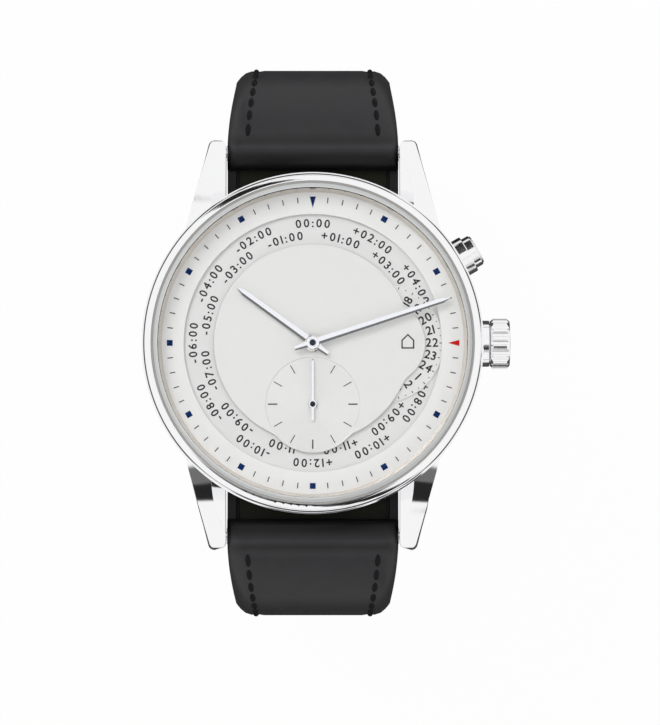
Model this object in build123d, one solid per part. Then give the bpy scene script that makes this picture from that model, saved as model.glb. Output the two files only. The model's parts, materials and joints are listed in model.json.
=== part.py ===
from build123d import *
import math
import os

# World time wristwatch, dial up, with its strap buckled into a loop that hangs below the case.
# +X points to 3 o'clock, +Y to 12 o'clock and +Z out of the dial, and 0 is the back's flat outer face.
# All lengths are millimetres and all angles are degrees.

overrun = 1.0
fit_gap = 0.02
running_gap = 0.05

# Movement plate, from which the case and the dial take their sizes
plate_radius = 15.5
plate_step = plate_radius / 155
plate_low = 4.5
plate_thickness = 0.7
plate_high = plate_low + plate_thickness

# Case middle and its four lugs
movement_gap = 0.7
case_wall = 3.75
dial_wall = 1.75
foot_inset = 1.25
dial_ledge_rise = 0.55
case_top_rise = 1.65
movement_bore_radius = plate_radius + movement_gap
case_radius = movement_bore_radius + case_wall
dial_bore_radius = case_radius - dial_wall
case_foot_radius = case_radius - foot_inset
case_foot_height = 1.4
case_flank_height = 2.3
dial_ledge_height = plate_high + dial_ledge_rise
case_top_height = dial_ledge_height + case_top_rise
case_edge = 0.15
bar_distance = 2.55
bar_reach = case_radius + bar_distance
bar_height = 2.0
lug_gap = 20.4
lug_tip_width = 1.75
lug_bend_width = 4.15
lug_root_width = 5.0
lug_tip_outer = lug_gap / 2 + lug_tip_width
lug_bend_outer = lug_gap / 2 + lug_bend_width
lug_root_outer = lug_gap / 2 + lug_root_width
lug_root_inset = 7.95
lug_bend_inset = 4.65
lug_mid_inset = 0.45
lug_tip_wall = 1.45
lug_facet_inset = 0.7
lug_root_reach = case_radius - lug_root_inset
lug_bend_reach = case_radius - lug_bend_inset
lug_mid_reach = case_radius - lug_mid_inset
lug_tip_reach = bar_reach + lug_tip_wall
lug_facet_start = bar_reach - lug_facet_inset
lug_root_drop = 0.55
lug_mid_drop = 1.65
lug_tip_rise = 1.25
lug_tip_depth = 1.3
lug_mid_depth = 0.5
lug_root_lift = 0.1
lug_root_top = case_top_height - lug_root_drop
lug_mid_top = case_top_height - lug_mid_drop
lug_tip_top = bar_height + lug_tip_rise
lug_tip_bottom = bar_height - lug_tip_depth
lug_mid_bottom = bar_height - lug_mid_depth
lug_root_bottom = case_flank_height + lug_root_lift
lug_corner_radius = 0.75
lug_tip_round = 0.5
lug_facet_width = 1.2
lug_facet_depth = 1.0

# Bezel, glass and inner flange
bezel_inset = 0.2
bezel_crown_inset = 0.4
bezel_wall_rise = 0.6
bezel_lip_rise = 0.65
bezel_crown_rise = 1.15
bezel_rise = 1.5
bezel_width = 1.1
bezel_base_radius = case_radius - bezel_inset
bezel_wall_height = case_top_height + bezel_wall_rise
bezel_top_height = case_top_height + bezel_rise
bezel_crown_radius = case_radius - bezel_crown_inset
bezel_crown_height = case_top_height + bezel_crown_rise
bezel_mouth_radius = case_radius - bezel_width
bezel_lip_height = case_top_height + bezel_lip_rise
gasket_width = 0.3
glass_rise = 1.55
glass_dome_rise = 2.5
glass_radius = bezel_mouth_radius - gasket_width
glass_edge_height = case_top_height + glass_rise
glass_chamfer = 0.5
glass_chamfer_rise = 0.35
glass_top_height = case_top_height + glass_dome_rise
flange_foot_width = 0.63
flange_mouth_width = 0.2
flange_foot_radius = dial_bore_radius - flange_foot_width
flange_mouth_radius = dial_bore_radius - flange_mouth_width

# Case back
back_inset = 0.4
back_edge = 0.4
back_radius = case_foot_radius - back_inset
back_seal_width = 0.35
back_spigot_radius = movement_bore_radius - back_seal_width
back_spigot_height = 2.1
back_frame_width = 1.55
back_gasket_width = 0.3
back_lip_width = 0.6
back_seat_radius = back_spigot_radius - back_frame_width
back_glass_radius = back_seat_radius - back_gasket_width
back_glass_thickness = 1.2
back_lip_radius = back_glass_radius - back_lip_width
back_lip_height = 1.5
back_screw_count = 6
back_screw_inset = 1.05
back_screw_reach = back_radius - back_screw_inset
back_screw_head_radius = 0.85
back_screw_head_height = 0.55
back_screw_shank_radius = 0.45
back_screw_length = 2.9
back_screw_recess = 0.08

# Dial side
dial_edge_gap = 0.1
dial_rise = 0.85
dial_plate_radius = dial_bore_radius - dial_edge_gap
dial_top_height = dial_ledge_height + dial_rise
flange_foot_height = dial_top_height + fit_gap
dial_thickness = 0.3
dial_track_width = 3.1
dial_rim_width = 0.8
dial_window_radius = dial_plate_radius - dial_track_width
dial_rim_radius = dial_plate_radius - dial_rim_width
city_ring_overlap = 0.8
city_ring_hidden = 1.1
city_ring_rise = 0.2
central_dial_radius = 115 * plate_step
city_ring_outer = dial_window_radius + city_ring_overlap
city_ring_inner = central_dial_radius - city_ring_hidden
city_ring_low = dial_ledge_height + city_ring_rise
city_ring_thickness = 0.12
home_disc_x = 82.8 * plate_step
home_disc_radius = 69 * plate_step
home_disc_rise = 0.37
home_disc_low = dial_ledge_height + home_disc_rise
home_disc_thickness = 0.12
home_hub_radius = 0.8
central_lobe_radius = 48 * plate_step
central_fillet = 22 * plate_step
seconds_y = -71.2 * plate_step
seconds_lobe_radius = 56.5 * plate_step
seconds_recess_radius = 54.8 * plate_step
seconds_recess_depth = 0.1
seconds_fillet = 16 * plate_step
dial_post_radius = 0.4
dial_post_places = [
    (-75 * plate_step, 40 * plate_step), (-75 * plate_step, -40 * plate_step), (0, 86 * plate_step)]
module_plate_low = dial_ledge_height
module_plate_thickness = 0.15
module_plate_edge = 0.1
module_plate_radius = dial_rim_radius - module_plate_edge

# Hands
hour_hand_reach = 108.5 * plate_step
hour_hand_rise = 0.42
hour_hand_low = dial_top_height + hour_hand_rise
hour_hand_width = 0.78
hour_hand_angle = 306.0
minute_hand_reach = 168 * plate_step
minute_hand_rise = 0.82
minute_hand_low = dial_top_height + minute_hand_rise
minute_hand_width = 0.72
minute_hand_angle = 72.0
hand_thickness = 0.14
hand_tail = 2.2
hand_boss_radius = 1.05
hand_tip_share = 0.09
hand_tail_share = 0.33
hand_step_share = 0.3
hand_crest_share = 0.05
hand_ridge = 0.1
hand_step_rise = 0.02
seconds_hand_reach = 50 * plate_step
seconds_hand_tail = 1.9
seconds_hand_rise = 0.12
seconds_hand_low = dial_top_height + seconds_hand_rise
seconds_hand_width = 0.26
seconds_hand_thickness = 0.1
seconds_boss_radius = 0.42
seconds_cap_radius = 0.3
cap_height = 0.12
cap_radius = 0.62

# Crown at 3 o'clock and pusher at 2 o'clock
stem_drop = 0.1
crown_height = plate_low - stem_drop
crown_radius = 2.95
crown_distance = 0.77
crown_start = case_radius + crown_distance
crown_length = 2.3
crown_flutes = 18
crown_flute_depth = 0.22
crown_chamfer = 0.35
crown_dome = 0.12
crown_bore_radius = 1.6
crown_bore_depth = 1.5
crown_tube_radius = 1.15
crown_tube_bore = 0.62
crown_tube_reach = 1.28
crown_tube_start = movement_bore_radius + movement_gap
crown_tube_end = crown_start + crown_tube_reach
collar_radius = 2.7
collar_depth = 0.9
collar_reach = 0.7
collar_start = case_radius - collar_depth
collar_end = case_radius + collar_reach
seal_reach = 0.53
seal_start = crown_start + seal_reach
seal_width = 0.4
stem_radius = 0.5
stem_depth = 6.1
stem_start = plate_radius - stem_depth
pusher_angle = 30.0
pusher_collar_radius = 2.25
pusher_collar_depth = 1.05
pusher_collar_reach = 1.15
pusher_collar_start = case_radius - pusher_collar_depth
pusher_collar_end = case_radius + pusher_collar_reach
pusher_cap_radius = 1.9
pusher_cap_distance = 0.15
pusher_cap_reach = 2.25
pusher_cap_start = case_radius + pusher_cap_distance
pusher_cap_end = case_radius + pusher_cap_reach
pusher_edge = 0.18
pusher_tube_radius = 0.9
pusher_tube_start = crown_tube_start
pusher_pin_radius = 0.45
pusher_pin_distance = 0.95
pusher_pin_start = plate_radius + pusher_pin_distance
pusher_spring_wire = 0.22
pusher_spring_radius = 1.3
pusher_spring_turns = 2
pusher_spring_rise = 0.3
pusher_spring_start = pusher_collar_start + pusher_spring_rise

# Movement heights, counted from the back
rotor_low = 1.65
rotor_rim_high = 2.35
rotor_web_low = 1.95
rotor_web_high = 2.15
rotor_gap = 0.6
rotor_rim_width = 3.0
rotor_radius = plate_radius - rotor_gap
rotor_rim_inner = rotor_radius - rotor_rim_width
rotor_hub_radius = 2.4
rotor_open_share = 0.04
rotor_bearing_radius = 1.5
rotor_bearing_ring = 0.5
winding_low = 2.4
winding_high = 2.56
bridge_low = 2.6
bridge_high = 3.25
train_low = 3.3
bridge_gap = 0.3
bridge_radius = plate_radius - bridge_gap
bridge_step = 1.2
holder_gap = 0.04
holder_inner_radius = plate_radius + holder_gap
holder_outer_radius = movement_bore_radius - holder_gap
holder_low = 2.3
arbor_radius = 0.15
pivot_radius = 0.1
jewel_radius = 0.55
jewel_bore = 0.14
jewel_thickness = 0.2

# Wheel train, teeth and modules
centre_teeth = 64
third_pinion_teeth = 8
third_teeth = 60
fourth_pinion_teeth = 8
fourth_teeth = 60
escape_pinion_teeth = 6
barrel_teeth = 56
centre_pinion_teeth = 8
train_module = 1.05 * plate_step
fourth_module = 1.0 * plate_step
barrel_module = 1.78 * plate_step
cannon_teeth = 12
minute_wheel_teeth = 36
minute_pinion_teeth = 10
hour_teeth = 40
motion_module = 1.0 * plate_step
hour_module = 0.96 * plate_step
home_drive_teeth = 24
home_teeth = 48
home_module = 2.3 * plate_step
ratchet_teeth = 36
crown_wheel_teeth = 36
winding_module = 1.8 * plate_step
escape_teeth = 15
escape_radius = 22 * plate_step
escape_root_radius = 17.5 * plate_step
tooth_tip_share = 0.4
tooth_root_share = 0.5

# Wheel train, places and levels
barrel_direction = 50.0
barrel_low = 3.4
barrel_high = 4.1
barrel_tooth_low = 3.88
barrel_body_radius = 47.5 * plate_step
barrel_arbor_radius = 0.7
centre_pinion_low = 3.85
centre_pinion_high = 4.12
centre_wheel_low = 4.2
centre_wheel_high = 4.34
centre_arbor_radius = 0.3
third_wheel_low = 3.58
third_wheel_high = 3.72
third_pinion_low = 4.12
third_pinion_high = 4.42
fourth_pinion_low = 3.5
fourth_pinion_high = 3.84
fourth_wheel_low = 3.92
fourth_wheel_high = 4.04
fourth_arbor_radius = 0.16
escape_direction = 215.0
escape_pinion_low = 3.86
escape_pinion_high = 4.1
escape_wheel_low = 4.15
escape_wheel_high = 4.28
pallet_direction = 160.0
pallet_reach = 27.5 * plate_step
pallet_arm_length = 17.5 * plate_step
pallet_arm_width = 0.34
pallet_lever_gap = 1.0
pallet_stone_reach = 15 * plate_step
pallet_stone_width = 0.24
pallet_stone_gap = 0.17
pallet_low = 4.12
pallet_high = 4.32
pallet_bridge_low = 3.66
pallet_bridge_high = 3.82
pallet_bridge_length = 34 * plate_step
pallet_bridge_width = 1.3
pallet_bridge_direction = 250.0
balance_direction = 145.0
balance_reach = 35 * plate_step
balance_radius = 42 * plate_step
balance_rim_width = 0.42
balance_low = 3.35
balance_high = 3.6
balance_arm_width = 0.4
balance_arms = 3
balance_hub_radius = 0.5
roller_radius = 0.85
roller_low = 3.95
roller_high = 4.06
roller_pin_radius = 0.09
roller_pin_reach = 0.66
roller_pin_high = 4.3
hairspring_low = 3.02
hairspring_high = 3.16
hairspring_inner_radius = 0.55
hairspring_pitch = 0.3
hairspring_turns = 4
hairspring_width = 0.06
cock_low = 2.6
cock_high = 2.94
cock_width = 3.4
cock_clear = 0.4
cock_foot_radius = 1.25
cock_turn = 85.0
cannon_radius = 0.46
cannon_low = 5.26
cannon_high = 5.4
minute_wheel_direction = 205.0
minute_pinion_low = 5.43
minute_pinion_high = 5.57
hour_wheel_low = 5.44
hour_wheel_high = 5.56
hour_pipe_inner = 0.5
hour_pipe_outer = 0.72
home_drive_low = 5.6
home_drive_high = 5.7
ratchet_direction_to_crown = -31.0
click_width = 0.7
click_clear = 0.25
winding_pinion_radius = 1.0
winding_pinion_length = 1.6
winding_pinion_inset = 0.8
winding_pinion_start = stem_start + winding_pinion_inset
screw_head_radius = 0.8
screw_head_height = 0.22
screw_slot_turn = 30.0
back_slot_turn = 90.0
bridge_screw_shares = [(0.02, 0.88), (0.88, 0.02), (0.62, -0.62), (-0.72, 0.52)]

# Strap, spring bars, buckle and keepers
strap_side_gap = 0.15
strap_width = lug_gap - 2 * strap_side_gap
strap_end_width = 18.0
strap_thickness = 4.0
strap_end_thickness = 2.2
short_shoulder = 10.5
long_shoulder = 9.4
short_reach = bar_reach + short_shoulder
long_reach = bar_reach + long_shoulder
bar_radius = 0.9
bar_tip_radius = 0.5
bar_tip_length = 0.9
bar_shoulder_gap = 0.1
loop_floor = -42.0
layer_gap = 0.25
corner_inset_short = 21.8
corner_inset_long = 22.3
corner_lead_short = 2.3
corner_lead_long = 2.5
corner_radius_short = corner_inset_short - strap_thickness - corner_lead_short
corner_radius_long = corner_inset_long - strap_thickness - corner_lead_long
corner_reach_short = short_reach - corner_inset_short
corner_reach_long = long_reach - corner_inset_long
strap_edge_round = 2.0
lip_gap = 0.2
lip_thickness = 0.9
lip_root = 1.0
tail_angle = 17.0
tail_point_length = 9.0
tail_point_width = 6.0
buckle_inset = 14.2
buckle_y = corner_reach_short - buckle_inset
buckle_bar_radius = 0.7
buckle_length = 10.0
buckle_depth = 1.6
buckle_bar_depth = 1.25
buckle_side_gap = 0.4
buckle_arm_width = 1.6
buckle_eye_radius = 1.3
buckle_corner = 0.6
tongue_width = 1.7
tongue_thickness = 0.8
tongue_eye_radius = 1.15
tongue_notch_depth = 0.87
tongue_dip = 0.6
tongue_dip_reach = 2.8
tongue_rise_reach = 5.4
tongue_slot_gap = 0.2
hole_pitch = 6.5
hole_radius = 1.0
hole_count = 2
keeper_thickness = 1.25
keeper_gap = 0.35
keeper_width = 4.0
keeper_round = 1.0
fixed_keeper_inset = 4.7
fixed_keeper_y = corner_reach_short - fixed_keeper_inset
free_keeper_angle = 24.0

upright = (Align.CENTER, Align.CENTER, Align.MIN)


# Small helpers

def disc(radius, low, high, at=(0, 0)):
    """Upright cylinder between two heights."""
    return Pos(at[0], at[1], low) * Cylinder(radius, high - low, align=upright)


def ring(outer, inner, low, high, at=(0, 0)):
    """Flat annulus between two heights."""
    return disc(outer, low, high, at) - disc(inner, low - overrun, high + overrun, at)


def turned(outline):
    """Solid of revolution about the watch's axis from (radius, height) corners."""
    corners = [(radius, 0, height) for radius, height in outline]
    return revolve(make_face(Polyline(*corners, close=True)), Axis.Z)


def radial(radius, start, end, angle, height):
    """Rod that lies along a radius of the case."""
    return Rot(0, 0, angle) * Pos(start, 0, height) * Rot(0, 90, 0) * Cylinder(radius, end - start, align=upright)


def block(size_x, size_y, low, high, at=(0, 0), turn=0):
    """Upright box between two heights, turned about its own centre."""
    return Pos(at[0], at[1], low) * Rot(0, 0, turn) * Box(size_x, size_y, high - low, align=upright)


def polar(radius, angle, origin=(0, 0)):
    """Point at a radius and an angle from an origin."""
    turn = math.radians(angle)
    return (origin[0] + radius * math.cos(turn), origin[1] + radius * math.sin(turn))


def toothed(teeth, module, low, high, at, phase):
    """Wheel body with fine pointed teeth, one of which points at the phase angle."""
    pitch_radius = teeth * module / 2
    corners = []
    for tooth in range(teeth):
        angle = phase + 360 * tooth / teeth
        corners.append(polar(pitch_radius + tooth_tip_share * module, angle, at))
        corners.append(polar(pitch_radius - tooth_root_share * module, angle + 180 / teeth, at))
    outline = make_face(Polyline(*corners, close=True))
    return Pos(0, 0, low) * extrude(outline, amount=high - low)


def dome_arc(radius, low, high):
    """Arc from a dome's edge to its top, with its centre on the watch's axis."""
    rise = high - low
    sphere = (radius**2 + rise**2) / (2 * rise)
    half = math.asin(radius / sphere) / 2
    middle = (sphere * math.sin(half), high - sphere + sphere * math.cos(half))
    return ThreePointArc((radius, low), middle, (0, high))


def mesh_phase(phase, teeth, partner_teeth, direction):
    """Phase of a wheel whose gaps take the teeth of a partner that lies in the given direction back."""
    pitch_angle = 360 / teeth
    lag = (direction - phase) % pitch_angle
    return direction + 180 + lag * teeth / partner_teeth + 180 / partner_teeth


def angle_between(start, end):
    """Direction from one point to another."""
    return math.degrees(math.atan2(end[1] - start[1], end[0] - start[0]))


def distance_between(start, end):
    """Length from one point to another."""
    return math.hypot(end[0] - start[0], end[1] - start[1])


# Places of the train's arbors

def pitch_distance(module, teeth, partner_teeth):
    """Distance between the arbors of two wheels in mesh."""
    return module * (teeth + partner_teeth) / 2


centre_place = (0, 0)
fourth_place = (0, seconds_y)
centre_to_third = pitch_distance(train_module, centre_teeth, third_pinion_teeth)
third_to_fourth = pitch_distance(train_module, third_teeth, fourth_pinion_teeth)
third_y = -(centre_to_third**2 - third_to_fourth**2 + seconds_y**2) / (-2 * seconds_y)
third_place = (math.sqrt(centre_to_third**2 - third_y**2), third_y)
escape_place = polar(pitch_distance(fourth_module, fourth_teeth, escape_pinion_teeth), escape_direction, fourth_place)
pallet_place = polar(pallet_reach, pallet_direction, escape_place)
balance_place = polar(balance_reach, balance_direction, pallet_place)
barrel_place = polar(pitch_distance(barrel_module, barrel_teeth, centre_pinion_teeth), barrel_direction)
minute_wheel_place = polar(pitch_distance(motion_module, cannon_teeth, minute_wheel_teeth), minute_wheel_direction)
home_place = (home_disc_x, 0)
crown_wheel_place = polar(
    pitch_distance(winding_module, ratchet_teeth, crown_wheel_teeth), ratchet_direction_to_crown, barrel_place)

# Phases that put every pair in mesh at rest
centre_phase = 0.0
centre_pinion_phase = 0.0
third_pinion_phase = mesh_phase(
    centre_phase, centre_teeth, third_pinion_teeth, angle_between(centre_place, third_place))
third_phase = 0.0
fourth_pinion_phase = mesh_phase(
    third_phase, third_teeth, fourth_pinion_teeth, angle_between(third_place, fourth_place))
fourth_phase = 0.0
escape_pinion_phase = mesh_phase(
    fourth_phase, fourth_teeth, escape_pinion_teeth, angle_between(fourth_place, escape_place))
barrel_phase = mesh_phase(
    centre_pinion_phase, centre_pinion_teeth, barrel_teeth, angle_between(centre_place, barrel_place))
cannon_phase = 0.0
minute_wheel_phase = mesh_phase(
    cannon_phase, cannon_teeth, minute_wheel_teeth, angle_between(centre_place, minute_wheel_place))
minute_pinion_phase = 0.0
hour_phase = mesh_phase(
    minute_pinion_phase, minute_pinion_teeth, hour_teeth, angle_between(minute_wheel_place, centre_place))
home_drive_phase = 0.0
home_phase = mesh_phase(home_drive_phase, home_drive_teeth, home_teeth, angle_between(centre_place, home_place))
ratchet_phase = 0.0
crown_wheel_phase = mesh_phase(
    ratchet_phase, ratchet_teeth, crown_wheel_teeth, angle_between(barrel_place, crown_wheel_place))


# Case

def lug():
    """One lug at upper right: side profile cut to its plan outline, with a bevel on its inner top edge."""
    inner = lug_gap / 2
    with BuildSketch(Plane.YZ) as side:
        with BuildLine():
            ThreePointArc(
                (lug_root_reach, lug_root_top), (lug_mid_reach, lug_mid_top), (lug_tip_reach, lug_tip_top))
            Line((lug_tip_reach, lug_tip_top), (lug_tip_reach, lug_tip_bottom))
            ThreePointArc(
                (lug_tip_reach, lug_tip_bottom), (lug_mid_reach, lug_mid_bottom), (lug_root_reach, lug_root_bottom))
            Line((lug_root_reach, lug_root_bottom), (lug_root_reach, lug_root_top))
        make_face()
        fillet(side.vertices().sort_by(Axis.Y)[-2:], lug_tip_round)
    profile = extrude(side.sketch, amount=lug_root_outer + overrun)
    with BuildSketch() as plan:
        with BuildLine():
            Polyline(
                (inner, lug_root_reach), (lug_root_outer, lug_root_reach), (lug_bend_outer, lug_bend_reach),
                (lug_tip_outer, lug_tip_reach), (inner, lug_tip_reach), close=True)
        make_face()
        fillet(plan.vertices().sort_by(Axis.Y)[-2:], lug_corner_radius)
    outline = extrude(plan.sketch, amount=case_top_height)
    body = profile & outline
    near_tip = Vector(inner, lug_facet_start, lug_mid_top - (lug_mid_top - lug_tip_top) * tooth_root_share)
    far_end = Vector(inner + lug_facet_width, lug_bend_reach, lug_root_top - lug_facet_depth * 0.4)
    below_end = Vector(inner, lug_bend_reach, lug_root_top - lug_facet_depth * 1.4)
    along = (near_tip - far_end).normalized()
    normal = along.cross(below_end - far_end).normalized()
    if normal.Z < 0:
        normal = normal * -1
    facet = Plane(origin=far_end, x_dir=along, z_dir=normal)
    span = lug_tip_reach
    return body - facet * Box(2 * span, 2 * lug_facet_width, span, align=upright)


def case_middle():
    """Turned case band with four lugs, bored for the movement, crown, pusher, spring bars and screws."""
    body = turned([
        (0, case_foot_height), (case_foot_radius, case_foot_height), (case_radius, case_flank_height),
        (case_radius, case_top_height - case_edge), (case_radius - case_edge, case_top_height),
        (0, case_top_height)])
    corner = lug()
    side = corner + mirror(corner, Plane.YZ)
    body = body + side + mirror(side, Plane.XZ)
    body = body - disc(movement_bore_radius, -overrun, case_top_height + overrun)
    body = body - disc(dial_bore_radius, dial_ledge_height, case_top_height + overrun)
    body = body - radial(collar_radius + fit_gap, collar_start, case_radius + overrun, 0, crown_height)
    body = body - radial(crown_tube_radius + fit_gap, movement_bore_radius - overrun, case_radius, 0, crown_height)
    body = body - radial(
        pusher_collar_radius + fit_gap, pusher_collar_start, case_radius + overrun, pusher_angle, crown_height)
    body = body - radial(
        pusher_tube_radius + fit_gap, movement_bore_radius - overrun, case_radius, pusher_angle, crown_height)
    for reach in (bar_reach, -bar_reach):
        hole = Cylinder(bar_tip_radius + running_gap, lug_gap + 2 * bar_tip_length)
        body = body - Pos(0, reach, bar_height) * Rot(0, 90, 0) * hole
    for place in screw_places():
        body = body - disc(back_screw_shank_radius + fit_gap, 0, back_screw_length + fit_gap, place)
    return body


def screw_places():
    """Centres of the case back screws."""
    step = 360 / back_screw_count
    return [polar(back_screw_reach, step * (index + 0.5)) for index in range(back_screw_count)]


def bezel():
    """Thin polished bezel with a rounded crown and an inner lip under the glass."""
    with BuildSketch(Plane.XZ) as section:
        with BuildLine():
            Polyline(
                (bezel_mouth_radius, bezel_top_height), (bezel_mouth_radius, bezel_lip_height),
                (dial_bore_radius, bezel_lip_height), (dial_bore_radius, case_top_height),
                (bezel_base_radius, case_top_height), (bezel_base_radius, bezel_wall_height))
            ThreePointArc(
                (bezel_base_radius, bezel_wall_height), (bezel_crown_radius, bezel_crown_height),
                (bezel_mouth_radius, bezel_top_height))
        make_face()
    return revolve(section.sketch, Axis.Z)


def front_glass():
    """Domed glass with a ground chamfer and a flat underside."""
    shoulder = glass_radius - glass_chamfer
    shoulder_height = glass_edge_height + glass_chamfer_rise
    with BuildSketch(Plane.XZ) as section:
        with BuildLine():
            Polyline(
                (0, bezel_lip_height), (glass_radius, bezel_lip_height), (glass_radius, glass_edge_height),
                (shoulder, shoulder_height))
            dome_arc(shoulder, shoulder_height, glass_top_height)
            Line((0, glass_top_height), (0, bezel_lip_height))
        make_face()
    return revolve(section.sketch, Axis.Z)


def front_gasket():
    """Ring pressed between glass and bezel."""
    return ring(bezel_mouth_radius - fit_gap, glass_radius + fit_gap, bezel_lip_height, glass_edge_height - case_edge)


def inner_flange():
    """Sloping ring between the dial's edge and the glass."""
    return turned([
        (flange_foot_radius, flange_foot_height), (dial_bore_radius - fit_gap, flange_foot_height),
        (dial_bore_radius - fit_gap, bezel_lip_height), (flange_mouth_radius, bezel_lip_height)])


def case_back():
    """Screwed back with a window, its spigot reaches into the case."""
    body = turned([
        (back_seat_radius, 0), (back_radius - back_edge, 0), (back_radius, back_edge),
        (back_radius, case_foot_height), (back_spigot_radius, case_foot_height),
        (back_spigot_radius, back_spigot_height), (back_spigot_radius - back_lip_height / 2, back_spigot_height),
        (back_spigot_radius - back_lip_height / 2, back_lip_height), (back_lip_radius, back_lip_height),
        (back_lip_radius, back_glass_thickness), (back_seat_radius, back_glass_thickness)])
    for place in screw_places():
        body = body - disc(back_screw_head_radius + fit_gap, -overrun, back_screw_head_height + fit_gap, place)
        body = body - disc(back_screw_shank_radius + fit_gap, 0, back_spigot_height, place)
    return body


def case_back_screws():
    """Six slotted screws, one node."""
    screws = Part()
    for place in screw_places():
        head = disc(back_screw_head_radius, back_screw_recess, back_screw_head_height, place)
        slot = block(2 * back_screw_head_radius, back_screw_recess * 2, 0, back_screw_recess * 3, place,
                     angle_between(centre_place, place) + back_slot_turn)
        shank = disc(back_screw_shank_radius, back_screw_head_height, back_screw_length, place)
        screws = screws + (head - slot + shank)
    return screws


# Dial side

def dial_plate():
    """Fixed outer dial for the minute track, on its rim."""
    return turned([
        (dial_window_radius, dial_top_height - dial_thickness), (dial_rim_radius, dial_top_height - dial_thickness),
        (dial_rim_radius, dial_ledge_height), (dial_plate_radius, dial_ledge_height),
        (dial_plate_radius, dial_top_height), (dial_window_radius, dial_top_height)])


def city_ring():
    """Turning ring below the dial."""
    return ring(city_ring_outer, city_ring_inner, city_ring_low, city_ring_low + city_ring_thickness)


def home_time_disc():
    """24-hour disc with its hub and its drive wheel under the module plate."""
    top = home_disc_low + home_disc_thickness
    body = disc(home_disc_radius, home_disc_low, top, home_place)
    body = body + disc(home_hub_radius, home_drive_low, home_disc_low, home_place)
    return body + toothed(home_teeth, home_module, home_drive_low, home_drive_high, home_place, home_phase)


def central_dial():
    """Raised dial with lobes over the 24-hour disc and the small seconds, on three posts."""
    low = dial_top_height - dial_thickness
    with BuildSketch() as outline:
        Circle(central_dial_radius)
        with Locations(home_place):
            Circle(central_lobe_radius)
        home_corners = outline.vertices().filter_by(lambda point: point.X > central_lobe_radius)
        fillet(home_corners, central_fillet)
        with Locations(fourth_place):
            Circle(seconds_lobe_radius)
        seconds_corners = outline.vertices().filter_by(
            lambda point: point.Y < seconds_y and abs(point.X) < seconds_lobe_radius)
        fillet(seconds_corners, seconds_fillet)
    body = Pos(0, 0, low) * extrude(outline.sketch, amount=dial_thickness)
    body = body - disc(
        seconds_recess_radius, dial_top_height - seconds_recess_depth, dial_top_height + overrun, fourth_place)
    body = body - disc(hour_pipe_outer + running_gap, low - overrun, dial_top_height + overrun)
    body = body - disc(fourth_arbor_radius + running_gap, low - overrun, dial_top_height + overrun, fourth_place)
    for place in dial_post_places:
        body = body + disc(dial_post_radius, module_plate_low + module_plate_thickness, low, place)
    return body


def module_plate():
    """Thin plate under the city ring, with passages for the pipes."""
    body = ring(module_plate_radius, hour_pipe_outer + running_gap, module_plate_low,
                module_plate_low + module_plate_thickness)
    for place, radius in ((home_place, home_hub_radius), (fourth_place, fourth_arbor_radius)):
        body = body - disc(radius + running_gap, 0, case_top_height, place)
    return body


# Hands

def tapered_hand(reach, tail, width, boss, low, thickness, angle, at, bore):
    """Pointed hand with a ridge and a short blunt tail, laid from 12 o'clock and turned clockwise."""
    tip = width * hand_tip_share
    end = width * hand_tail_share
    half = width / 2
    outline = Polyline((-tip, reach), (-half, 0), (-end, -tail), (end, -tail), (half, 0), (tip, reach), close=True)
    step = (width * hand_step_share, thickness + hand_step_rise)
    crest = (width * hand_crest_share, thickness + hand_ridge)
    section = Polyline(
        (-half, 0), (half, 0), (half, thickness), step, crest, (-crest[0], crest[1]), (-step[0], step[1]),
        (-half, thickness), close=True)
    roof = extrude(make_face(Plane.XZ * section), amount=reach, both=True)
    blade = (extrude(make_face(outline), amount=thickness + hand_ridge) & roof)
    blade = blade + Cylinder(boss, thickness, align=upright)
    hand = Pos(at[0], at[1], low) * Rot(0, 0, -angle) * blade
    return hand - disc(bore, low - overrun, low + overrun, at)


def hour_hand():
    """Hour hand pressed on the hour wheel's pipe."""
    return tapered_hand(hour_hand_reach, hand_tail, hour_hand_width, hand_boss_radius, hour_hand_low,
                        hand_thickness, hour_hand_angle, centre_place, hour_pipe_outer + fit_gap / 2)


def minute_hand():
    """Minute hand with its cap, pressed on the cannon pinion."""
    body = tapered_hand(minute_hand_reach, hand_tail, minute_hand_width, hand_boss_radius, minute_hand_low,
                        hand_thickness, minute_hand_angle, centre_place, cannon_radius + fit_gap / 2)
    top = minute_hand_low + hand_thickness
    return body + disc(cap_radius, top, top + cap_height)


def seconds_hand():
    """Small seconds hand with its cap."""
    body = tapered_hand(seconds_hand_reach, seconds_hand_tail, seconds_hand_width, seconds_boss_radius,
                        seconds_hand_low, seconds_hand_thickness, 0, fourth_place,
                        fourth_arbor_radius + fit_gap / 2)
    top = seconds_hand_low + seconds_hand_thickness
    return body + disc(seconds_cap_radius, top, top + cap_height / 2, fourth_place)


# Crown and pusher

def crown_tube():
    """Tube in the case wall with the collar that shows beside the crown."""
    body = radial(crown_tube_radius, crown_tube_start, crown_tube_end, 0, crown_height)
    body = body + radial(collar_radius, collar_start, collar_end, 0, crown_height)
    return body - radial(crown_tube_bore, crown_tube_start - overrun, crown_tube_end + overrun, 0, crown_height)


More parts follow.
